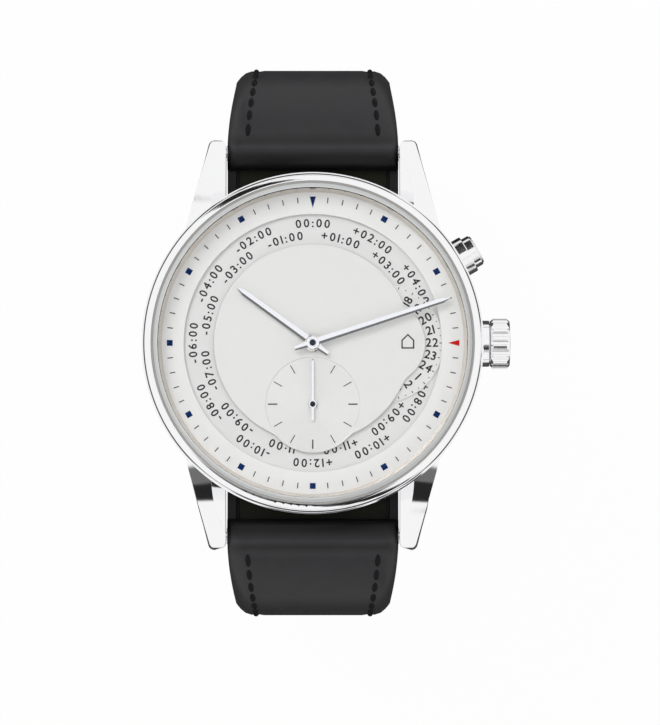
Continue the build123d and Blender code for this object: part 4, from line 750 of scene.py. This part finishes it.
def stitch_group():
    """Thread stitches at an even pitch along a curve."""
    group, entry = open_group("stitch_row", {"Pitch": "Float", "Length": "Float", "Width": "Float",
                                             "Slant": "Float", "Thread": "Material"})
    spaced = add_node(group, "GeometryNodeResampleCurve", {
        "Curve": entry["Geometry"], "Length": entry["Pitch"]}, mode="LENGTH")
    ball = add_node(group, "GeometryNodeMeshUVSphere", {"Segments": 10, "Rings": 8, "Radius": 0.5})
    size = add_node(group, "ShaderNodeCombineXYZ", {
        "X": entry["Width"], "Y": entry["Width"], "Z": entry["Length"]})
    lean = add_node(group, "ShaderNodeCombineXYZ", {"X": entry["Slant"]})
    shaped = add_node(group, "GeometryNodeTransform", {
        "Geometry": ball.outputs["Mesh"], "Scale": size.outputs["Vector"],
        "Rotation": lean.outputs["Vector"]})
    smooth = add_node(group, "GeometryNodeSetShadeSmooth", {"Geometry": shaped.outputs["Geometry"]})
    points = add_node(group, "GeometryNodeCurveToPoints", {"Curve": spaced.outputs["Curve"]},
                      mode="EVALUATED")
    return close_group(group, points.outputs["Points"], smooth.outputs["Geometry"],
                       points.outputs["Rotation"], entry["Thread"])


marks_round_dial = marks_group()
stitches_along = stitch_group()


# Dial printing

def add_prism(bm, outline, low):
    """Thin printed shape from a closed outline in millimetres."""
    under, over = ([bm.verts.new((x * MM, y * MM, low + rise)) for x, y in outline]
                   for rise in (0, print_thickness * MM))
    bm.faces.new(list(reversed(under)))
    bm.faces.new(over)
    bridge(bm, under, over)


def turned_outline(outline, angle):
    """Outline drawn at 12 o'clock, turned clockwise about the centre."""
    turn = Matrix.Rotation(math.radians(-angle), 2)
    return [turn @ Vector(point) for point in outline]


def bar_outline(inner, outer, width):
    return [(-width / 2, inner), (width / 2, inner), (width / 2, outer), (-width / 2, outer)]


def print_marks(name, outlines, low, material, body="case", marks=1, step=0, centre=(0, 0)):
    """Printed piece of closed outlines, repeated by steps round a centre."""
    bm = bmesh.new()
    for outline in outlines:
        add_prism(bm, outline, low)
    mesh = as_mesh(name, bm, [material])
    if marks > 1:
        values = {"Marks": marks, "Step": math.radians(-step), "Ink": material}
        mesh = mesh_from(mesh, marks_round_dial, values)
        mesh.transform(shifted(*centre))
        mesh.name = name
    add_piece(name, mesh, body)


def print_house(level):
    """Plain house drawn as one line, between an outer and an inner outline with the same corners."""
    bm = bmesh.new()
    rows = [[bm.verts.new((x * MM, y * MM, level + rise * MM)) for x, y in house_outline(inset)]
            for inset, rise in ((0, 0), (0, print_thickness), (house_line, print_thickness), (house_line, 0))]
    for first, second in zip(rows, rows[1:] + rows[:1]):
        bridge(bm, first, second)
    add_piece("home_symbol", as_mesh("home_symbol", bm, [dark_ink]), "case")


def house_outline(inset):
    """Two walls and a gable roof, drawn inwards by an inset."""
    side, foot = house_width / 2 - inset, -house_height / 2 + inset
    slope = math.atan2(house_height - house_wall, house_width / 2)
    top = house_height / 2 - inset / math.cos(slope)
    eaves = top - side * math.tan(slope)
    corners = ((-side, foot), (side, foot), (side, eaves), (0, top), (-side, eaves))
    return [Vector(corner) + house_at for corner in corners]


outer_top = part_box("dial_plate")[1].z
centre_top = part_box("central_dial")[1].z
ring_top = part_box("city_ring")[1].z
disc_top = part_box("home_time_disc")[1].z
seconds_floor = centre_top - seconds_floor_depth * MM

minute_tick = bar_outline(minute_tick_inner, minute_tick_outer, minute_tick_width)
print_marks("minute_ticks", [turned_outline(minute_tick, minute_step * minute) for minute in range(1, 5)],
            outer_top, dark_ink, marks=12, step=hour_step)
square_half = hour_square_side / 2
square = bar_outline(hour_square_radius - square_half, hour_square_radius + square_half, hour_square_side)
arrow = [(-arrow_width / 2, arrow_outer), (0, arrow_inner), (arrow_width / 2, arrow_outer)]
squares = [turned_outline(square, hour_step * hour) for hour in (1, 2, *range(4, 12))]
print_marks("hour_squares", squares + [arrow], outer_top, blue_ink)
print_marks("home_arrow", [turned_outline(arrow, 90)], outer_top, red_ink)
print_marks("seconds_ticks", [
    turned_outline(bar_outline(seconds_tick_inner, seconds_tick_outer, width), hour_step * index)
    for index, width in enumerate((quarter_tick_width, seconds_tick_width, seconds_tick_width))],
    seconds_floor, dark_ink, marks=4, step=90, centre=seconds_axis)
dot = [(home_dot_size / 2 * cosine(turn), home_dot_radius + home_dot_size / 2 * sine(turn))
       for turn in range(0, 360, 45)]
print_marks("home_ticks", [bar_outline(home_dash_inner, home_dash_outer, home_dash_width),
                           turned_outline(dot, home_dot_angle)],
            disc_top, dark_ink, "home_disc", marks=24, step=zone_step, centre=home_axis)
print_house(centre_top)


def letter_mesh(character, size):
    """One printed character, centred, with its width."""
    curve = bpy.data.curves.new("letter", "FONT")
    curve.body = character
    curve.size = size * MM * letter_scale
    curve.align_x, curve.align_y = "CENTER", "CENTER"
    curve.offset = letter_weight * size * MM
    curve.extrude = print_thickness * MM / 2
    curve.resolution_u = 3
    mesh = mesh_from(curve)
    bpy.data.curves.remove(curve)
    xs = [vertex.co.x for vertex in mesh.vertices]
    mesh.transform(Matrix.Translation((-(max(xs) + min(xs)) / 2, 0, 0)))
    return mesh, (max(xs) - min(xs)) / MM


letters = {}


def add_text(bm, text, size, spacing, place_of):
    """Letters side by side, each put where place_of says for its distance from the text's middle."""
    sizes = []
    for character in text:
        if (character, size) not in letters:
            letters[character, size] = letter_mesh(character, size)
        sizes.append(letters[character, size][1] + spacing * size)
    start = -sum(sizes) / 2
    for character, width in zip(text, sizes):
        copy = letters[character, size][0].copy()
        copy.transform(place_of(start + width / 2))
        bm.from_mesh(copy)
        bpy.data.meshes.remove(copy)
        start += width


def round_place(radius, angle, level):
    """Places along an arc round the dial, tops outward, from a clockwise angle from 12 o'clock."""
    def place_of(along):
        turn = math.radians(angle) + along / radius
        height = level / MM + print_thickness / 2
        place = shifted(radius * math.sin(turn), radius * math.cos(turn), height)
        return place @ Matrix.Rotation(-turn, 4, "Z")
    return place_of


def outward_place(radius, angle, level, centre):
    """Places along a radius, read outwards, at a clockwise angle from 12 o'clock."""
    def place_of(along):
        height = level / MM + print_thickness / 2
        return shifted(*centre, height) @ turned_by(90 - angle) @ shifted(radius + along, 0)
    return place_of


zones, home_numbers = bmesh.new(), bmesh.new()
for step in range(24):
    hours = step if step <= 12 else step - 24
    text = f"{hours:+03d}:00" if hours else "00:00"
    radius = zone_inner_radius if step % 2 else zone_outer_radius
    add_text(zones, text, zone_letter, zone_spacing, round_place(radius, zone_step * step, ring_top))
add_piece("zone_offsets", as_mesh("zone_offsets", zones, [dark_ink]), "city_disc")
for step in range(24):
    hour = (home_at_east + step - 1) % 24 + 1
    place = outward_place(home_number_radius, 90 + zone_step * step, disc_top, home_axis)
    add_text(home_numbers, str(hour), home_letter, home_spacing, place)
add_piece("home_numbers", as_mesh("home_numbers", home_numbers, [dark_ink]), "home_disc")


# Strap

def arc(centre, radius, start, sweep, count):
    turns = [start + sweep * index / count for index in range(count + 1)]
    return [Vector((centre[0] + radius * cosine(turn), centre[1] + radius * sine(turn))) for turn in turns]


class Half:
    """One strap half's path: a shoulder over the lug, a long side arc and the corner at the wrist's side."""

    def __init__(self, reach, corner_reach, corner_height, corner_radius):
        self.reach, self.corner_reach = reach, corner_reach
        self.corner_height, self.corner_radius = corner_height, corner_radius
        self.height = bar_height + strap_thickness / 2 - (reach - bar_reach)

    def side_arc(self, inset, corner_radius):
        """Radius and lean of the side arc that is upright at its reach and touches the corner arc."""
        reach = self.reach - inset
        across, down = reach - self.corner_reach, self.height - self.corner_height
        radius = (across**2 + down**2 - corner_radius**2) / (2 * (across - corner_radius))
        return radius, math.degrees(math.atan2(down, self.corner_reach - reach + radius))

    def face(self, inset, corner_radius):
        """Points of one face from the spring bar down to the flat, in (reach, height)."""
        radius, lean = self.side_arc(inset, corner_radius)
        reach = self.reach - inset
        points = arc((bar_reach, self.height), reach - bar_reach, 90, -90, 30)
        points += arc((reach - radius, self.height), radius, 0, -lean, 22)[1:]
        points += arc((self.corner_reach, self.corner_height), corner_radius, -lean, lean - 90, 30)[1:]
        return points

    def faces(self):
        """Pairs of (outer, inner) points from the bar's roll down to the flat."""
        outer = self.face(0, self.corner_radius + strap_end_thickness)
        inner = self.face(strap_thickness, self.corner_radius)
        return roll_pairs((bar_reach, bar_height), strap_thickness / 2, 10)[:-1] + list(zip(outer, inner))


def roll_pairs(centre, radius, count):
    """Pairs of points on a half-round end, from its tip to its full height."""
    pairs = []
    for index in range(count + 1):
        turn = 90 * index / count
        back, up = -radius * cosine(turn), radius * sine(turn)
        pairs.append(tuple(Vector(centre) + Vector((back, rise)) for rise in (up, -up)))
    return pairs


short_floor = loop_floor - strap_end_thickness
long_top = short_floor - layer_gap
long_floor = long_top - strap_end_thickness
short_half = Half(short_reach, corner_short, loop_floor + corner_radius_short, corner_radius_short)
long_half = Half(long_reach, corner_long, long_top + corner_radius_long, corner_radius_long)
tail_radius, tail_lean = short_half.side_arc(0, corner_radius_short + strap_end_thickness)
roll_length = math.pi / 2 * strap_thickness / 2


def flat_pairs(start, end, outer, inner, count):
    """Pairs of points between two reaches on the flat, without its ends."""
    reaches = [start + (end - start) * index / count for index in range(1, count)]
    return [(Vector((reach, outer)), Vector((reach, inner))) for reach in reaches]


def short_pairs():
    """(outer, inner) points along the half at 12 o'clock, from the bar's roll to the buckle's roll."""
    end = roll_pairs((buckle_y, (loop_floor + short_floor) / 2), strap_end_thickness / 2, 6)
    return (short_half.faces() + flat_pairs(corner_short, buckle_y, short_floor, loop_floor, 10)
            + [(low, high) for high, low in reversed(end)])


def long_pairs():
    """(outer, inner) points along the half at 6 o'clock, round under the other half to the tail's tip."""
    pairs = [tuple(Vector((-point.x, point.y)) for point in pair) for pair in long_half.faces()]
    pairs += flat_pairs(-corner_long, corner_short, long_floor, long_top, 22)
    corner = corner_radius_short + strap_end_thickness + layer_gap
    centre = (short_half.reach - tail_radius, short_half.height)
    faces = []
    for gain in (strap_end_thickness, 0):
        face = arc((corner_short, short_half.corner_height), corner + gain, -90, 90 - tail_lean, 26)
        side = arc(centre, tail_radius + layer_gap + gain, -tail_lean, tail_lean - tail_angle, 12)
        faces.append(face + side[1:])
    return pairs + list(zip(*faces))


def limited(value):
    return max(0.0, min(1.0, value))


def padding(thickness):
    """Share of padding: full where the leather is thick, none where it is plain."""
    return limited((strap_thickness + padding_margin - abs(thickness - strap_thickness) * padding_fall)
                   / strap_thickness)


def strap_half_width(distance, total):
    """Half the strap's width: full at the lugs, narrower over the shoulder, then steady to the end."""
    shoulder = min(distance / shoulder_length, 1.0)
    rest = min(distance / (taper_share * total), 1.0)
    taper = (strap_width - strap_end_width) / 2 - shoulder_narrowing
    return strap_width / 2 - shoulder_narrowing * (1 - math.cos(math.pi * shoulder)) / 2 - taper * rest


def edge_height(inset, thickness, pad):
    """Height of the outer face over the inner one at a distance from the strap's edge."""
    slope = padded_slope * pad + plain_slope * (1 - pad)
    foot = thickness * (padded_foot * pad + plain_foot * (1 - pad))
    if inset >= slope:
        return thickness
    return foot + (thickness - foot) * (1 - (1 - inset / slope) ** edge_curve)


across_shares = [0.0, 0.012, 0.03, 0.06, 0.1, 0.14, 0.18, 0.22, 0.27, 0.33, 0.4, 0.5]
across_shares += [1 - share for share in reversed(across_shares[:-1])]


def strap_row(bm, outer, inner, beyond, total):
    """Outer and inner vertices across the strap, at a length beyond its roll."""
    half_width = strap_half_width(max(beyond, 0.0), total)
    up = outer - inner
    thickness = up.length
    pad = padding(thickness)
    if beyond < padding_start:
        pad = max(beyond, 0.0) / padding_start
    valley = valley_depth * math.exp(-((beyond - valley_at) / valley_width) ** 2)
    direction = up.normalized() if thickness > 0 else Vector((0, 1))
    upper, lower = [], []
    for share in across_shares:
        x = half_width * (2 * share - 1)
        inset = half_width * 2 * min(share, 1 - share)
        height = edge_height(inset, thickness, pad) - valley * min(inset / valley_edge, 1.0)
        groove = groove_depth * pad * math.exp(-((inset - stitch_inset) / groove_width) ** 2)
        point = inner + direction * max(height - groove, thinnest)
        lift = min(lining_lift_share * thickness, lining_lift)
        base = inner + direction * lift * (1 - min(inset / lining_lift_width, 1.0)) ** 2
        upper.append(vertex_at(bm, x, *point))
        lower.append(vertex_at(bm, x, *base))
    return upper, lower


def add_quad(bm, corners, material_index):
    bm.faces.new(corners).material_index = material_index


def strap_mesh(name, pairs):
    """Leather half: a padded outer face, a flat lining and painted edges."""
    lengths = [0.0]
    for before, after in zip(pairs, pairs[1:]):
        lengths.append(lengths[-1] + (after[0] - before[0]).length)
    bm = bmesh.new()
    rows = [strap_row(bm, *pair, length - roll_length, lengths[-1]) for pair, length in zip(pairs, lengths)]
    columns = range(len(across_shares) - 1)
    for (top, low), (next_top, next_low), length in zip(rows, rows[1:], lengths):
        for index in columns:
            add_quad(bm, (top[index], top[index + 1], next_top[index + 1], next_top[index]),
                     3 if length < roll_length else 0)
            add_quad(bm, (low[index], next_low[index], next_low[index + 1], low[index + 1]), 2)
        for side in (0, -1):
            add_quad(bm, (top[side], next_top[side], next_low[side], low[side]), 1)
    for top, low in (rows[0], rows[-1]):
        for index in columns:
            add_quad(bm, (top[index], top[index + 1], low[index + 1], low[index]), 1)
    bmesh.ops.remove_doubles(bm, verts=bm.verts, dist=weld * MM)
    return closed_mesh(name, bm, [leather, edges, lining, rolled], fold_angle)


def cut(piece, tool_mesh):
    """Takes a tool's shape out of a piece."""
    tool = add_object("tool", tool_mesh)
    modifier = piece.modifiers.new("cut", "BOOLEAN")
    modifier.operation, modifier.solver, modifier.object = "DIFFERENCE", "EXACT", tool
    mesh = baked(piece)
    piece.modifiers.remove(modifier)
    piece.data = mesh
    bpy.data.objects.remove(tool)


def slot_mesh(low, high):
    """Upright slot tool between two (y, z) corners."""
    bm = bmesh.new()
    bmesh.ops.create_cube(bm, size=1.0)
    ends = zip((-slot_half_width, *low), (slot_half_width, *high))
    middles, sizes = zip(*(((start + end) / 2 * MM, (end - start) * MM) for start, end in ends))
    for vertex in bm.verts:
        vertex.co = [middle + share * size for middle, share, size in zip(middles, vertex.co, sizes)]
    return as_mesh("slot", bm, [edges])


def drill_mesh(radius, depth, place):
    bm = bmesh.new()
    bmesh.ops.create_cone(bm, cap_ends=True, segments=32, radius1=radius * MM, radius2=radius * MM,
                          depth=depth * MM)
    mesh = as_mesh("drill", bm, [edges])
    mesh.transform(place)
    return mesh


def tail_corner_mesh(side):
    """Tool that takes one corner off the tail, so that it ends in a point."""
    tip = short_half.height - (tail_radius + layer_gap) * sine(tail_angle)
    wide, point = strap_width / 2 + 1, tail_point_width / 2
    high = tip + tail_cut_high
    outline = [(side * point, tip), (side * wide, tip - tail_point_length), (side * wide, high),
               (side * point, high)]
    bm = bmesh.new()
    near, far = ([vertex_at(bm, x, y, z) for x, z in outline] for y in (tail_cut_near, tail_cut_far))
    bridge(bm, near, far)
    cap_ends(bm, (near, far))
    return closed_mesh("corner", bm, [edges])


def add_strap(name, node, pairs, tools):
    strap = add_piece(name, strap_mesh(name, pairs), "case")
    for tool_mesh in tools:
        cut(strap, tool_mesh)
    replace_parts(strap, node)


def hole_places():
    """Places of the small holes along the long half's corner."""
    radius = corner_radius_long + strap_end_thickness / 2
    for index in range(1, 3):
        turn = (corner_long + first_hole_y - hole_pitch * index) / radius
        yield (shifted(0, -corner_long, long_half.corner_height) @ Matrix.Rotation(turn, 4, "X")
               @ shifted(0, 0, -radius))


add_strap("strap_short_leather", "strap_short", short_pairs(), [slot_mesh(bar_slot_low, bar_slot_high)])
add_strap("strap_long_leather", "strap_long", long_pairs(), [
    slot_mesh(tongue_slot_low, tongue_slot_high),
    *(drill_mesh(hole_radius, 2 * strap_end_thickness, place) for place in hole_places()),
    *(tail_corner_mesh(side) for side in (-1, 1))])


def lip_mesh(name, sign):
    """Flap of the lining between a strap's roll and the case, with a folded border at both sides."""
    half, count = strap_width / 2, 24
    border = [(half - inset, rise) for inset, rise in lip_border]
    plain = [(border[-1][0] * (1 - 2 * index / count), lip_plain_rise) for index in range(1, count)]
    columns = border + plain + [(-x, rise) for x, rise in reversed(border)]
    bm = bmesh.new()
    rows = []
    for x, rise in columns:
        start = math.sqrt(lip_inner_radius**2 - x**2)
        corners = [(start, lip_high + rise), (lip_end, lip_high + rise), (lip_end, lip_low), (start, lip_low)]
        rows.append([vertex_at(bm, x, sign * y, z) for y, z in corners])
    for index, (first, second) in enumerate(zip(rows, rows[1:])):
        outside = min(index, len(rows) - 2 - index)
        for face in bridge(bm, first, second):
            face.material_index = 1 if outside < 2 else 2 if outside < 4 else 0
    cap_ends(bm, rows, 1)
    return closed_mesh(name, bm, [lining, edges, thread])


for name, sign in (("lining_lip_short", 1), ("lining_lip_long", -1)):
    add_piece(name, lip_mesh(name, sign), "case")


def stitch_path(pairs, side):
    """Points of a stitch line on the outer face, from its start behind the roll to before the strap's end."""
    total = sum((after[0] - before[0]).length for before, after in zip(pairs, pairs[1:]))
    length, previous = 0.0, pairs[0][0]
    points = []
    for outer, inner in pairs:
        length += (outer - previous).length
        previous = outer
        beyond = length - roll_length
        if stitch_start <= beyond <= total - stitch_end:
            up = outer - inner
            pad = padding(up.length)
            height = edge_height(stitch_inset, up.length, pad) - stitch_groove * pad - stitch_sink
            place = inner + up.normalized() * height
            points.append((side * (strap_half_width(beyond, total) - stitch_inset), place.x, place.y))
    return points


def stitch_row(name, points):
    """Row of stitches along points in millimetres."""
    curve = bpy.data.curves.new(name + "_path", "CURVE")
    curve.dimensions = "3D"
    spline = curve.splines.new("POLY")
    spline.points.add(len(points) - 1)
    for item, point in zip(spline.points, points):
        item.co = (*(value * MM for value in point), 1)
    mesh = mesh_from(curve, stitches_along, {
        "Pitch": stitch_pitch * MM, "Length": stitch_length * MM, "Width": stitch_width * MM,
        "Slant": stitch_slant, "Thread": thread})
    mesh.name = name
    add_piece(name, mesh, "case")


for side in (-1, 1):
    stitch_row(f"stitches_short_{side + 1}", stitch_path(short_pairs(), side))
    stitch_row(f"stitches_long_{side + 1}", stitch_path(long_pairs(), side))


def leather_keeper(node):
    """Keeper loop with softened edges."""
    piece = add_piece(node + "_leather", as_mesh(node + "_leather", merged(node), [leather]),
                      BODY_OF[node])
    modifier = add_bevel(piece, keeper_bevel, keeper_angle, 3)
    mesh = baked(piece)
    piece.modifiers.remove(modifier)
    for polygon in mesh.polygons:
        polygon.use_smooth = True
    piece.data = mesh
    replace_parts(piece, node)


leather_keeper("fixed_keeper")
leather_keeper("free_keeper")


# Stage

def white_floor(share=0.97, level=0.8, dark_reach=135.0, bright_reach=190.0, darkest=0.05):
    """Diffuse white that the camera sees as plain white, with a painted shade near the object's foot that
    only metal sees.
    """
    material = bpy.data.materials.new("white_floor")
    material.use_nodes = True
    material.node_tree.nodes.clear()
    path = add_node(material, "ShaderNodeLightPath").outputs
    # Painted shade round the object's foot, seen only by glossy rays
    near = ranged(material, radius_from(material), darkest, 1.0, dark_reach, bright_reach)
    dark = arithmetic(material, "SUBTRACT", 1.0, near)
    painted_shade_dimming = arithmetic(material, "MULTIPLY", dark, path["Is Glossy Ray"])
    strength = arithmetic(material, "SUBTRACT", 1.0, painted_shade_dimming)
    glow = add_node(material, "ShaderNodeEmission", {"Strength": strength})
    matt = add_node(material, "ShaderNodeBsdfDiffuse", {"Color": (level, level, level, 1)})
    mirrored = arithmetic(material, "MAXIMUM", path["Is Glossy Ray"], path["Is Transmission Ray"])
    seen = arithmetic(material, "MAXIMUM", path["Is Camera Ray"], mirrored)
    white = arithmetic(material, "MULTIPLY", seen, share)
    blend = add_node(material, "ShaderNodeMixShader", {
        "Fac": white, 1: matt.outputs["BSDF"], 2: glow.outputs["Emission"]})
    add_node(material, "ShaderNodeOutputMaterial", {"Surface": blend.outputs["Shader"]})
    return material


floor_mesh = bpy.data.meshes.new("floor")
floor_level = cad_box[0][2] - floor_drop
corners = [(x * floor_reach, y * floor_reach, floor_level) for x, y in ((-1, -1), (1, -1), (1, 1), (-1, 1))]
floor_mesh.from_pydata(corners, [], [(0, 1, 2, 3)])
floor_mesh.materials.append(white_floor())
add_object("floor", floor_mesh)


def softbox(name, place, size, power):
    """Square lamp that faces the dial and isn't seen in metal."""
    lamp = bpy.data.lights.new(name, "AREA")
    lamp.size = size
    lamp.energy = power
    holder = add_object(name, lamp)
    holder.location = place
    holder.rotation_euler = (-Vector(place)).to_track_quat("-Z", "Y").to_euler()
    holder.visible_glossy = False


for lamp in lamps:
    softbox(*lamp)

world = bpy.data.worlds.new("studio")
bpy.context.scene.world = world
world.use_nodes = True
world.node_tree.nodes.clear()
directions = add_node(world, "ShaderNodeTexCoord").outputs["Generated"]
light_path = add_node(world, "ShaderNodeLightPath").outputs


def soft_step(value, start, end, low=0.0):
    return ranged(world, value, low, 1.0, start, end, interpolation_type="SMOOTHSTEP")


def dark_flag(azimuth, elevation, radius, edge=flag_edge, darkness=1.0):
    """Level of a dark round flag of the studio: low inside it and 1 outside it."""
    way = (cosine(azimuth) * cosine(elevation), sine(azimuth) * cosine(elevation), sine(elevation))
    dot = add_node(world, "ShaderNodeVectorMath", {0: directions, 1: way}, operation="DOT_PRODUCT")
    return soft_step(dot.outputs["Value"], cosine(radius), cosine(radius + edge), 1 - darkness)


def dark_horizon(azimuth, spread=12, low=-4, high=0):
    """0 along a low stretch of the studio's horizon and 1 elsewhere."""
    parts = add_node(world, "ShaderNodeSeparateXYZ", {"Vector": directions}).outputs
    ahead = arithmetic(world, "ADD", arithmetic(world, "MULTIPLY", parts["X"], cosine(azimuth)),
                       arithmetic(world, "MULTIPLY", parts["Y"], sine(azimuth)))
    inside = 1.0
    for value, start, end in ((ahead, cosine(spread + horizon_blend), cosine(spread)),
                              (parts["Z"], sine(low - horizon_edge), sine(low)),
                              (parts["Z"], sine(high + horizon_edge), sine(high))):
        inside = arithmetic(world, "MULTIPLY", soft_step(value, start, end), inside)
    return arithmetic(world, "SUBTRACT", 1.0, inside)


open_share = arithmetic(world, "MULTIPLY", dark_horizon(90), dark_horizon(-90))
for flag in flags:
    open_share = arithmetic(world, "MULTIPLY", open_share, dark_flag(*flag))
open_share = arithmetic(world, "MULTIPLY", open_share, dark_flag(*soft_card))
mirrored = arithmetic(world, "MAXIMUM", light_path["Is Glossy Ray"], light_path["Is Transmission Ray"])
strength = arithmetic(world, "ADD", arithmetic(world, "MULTIPLY", mirrored, glossy_level - diffuse_level),
                      diffuse_level)
lit = arithmetic(world, "ADD", arithmetic(world, "MULTIPLY", open_share, strength), least_level)
level = arithmetic(world, "MAXIMUM", lit, light_path["Is Camera Ray"])
backdrop = add_node(world, "ShaderNodeBackground", {"Color": (1, 1, 1, 1), "Strength": level})
add_node(world, "ShaderNodeOutputWorld", {"Surface": backdrop.outputs["Background"]})


# Camera

lens = bpy.data.cameras.new("camera")
lens.sensor_fit = "HORIZONTAL"
lens.sensor_width = sensor_width
lens.lens = sensor_width * camera_distance / view_width
lens.clip_start, lens.clip_end = near_clip * MM, far_clip * MM
camera = add_object("camera", lens)
camera.location = (view_centre[0] * MM, (view_centre[1] - camera_distance * sine(camera_tilt)) * MM,
                   (dial_level + camera_distance * cosine(camera_tilt)) * MM)
camera.rotation_euler = (math.radians(camera_tilt), 0, 0)
bpy.context.scene.camera = camera
bpy.context.scene.view_settings.view_transform = "Standard"
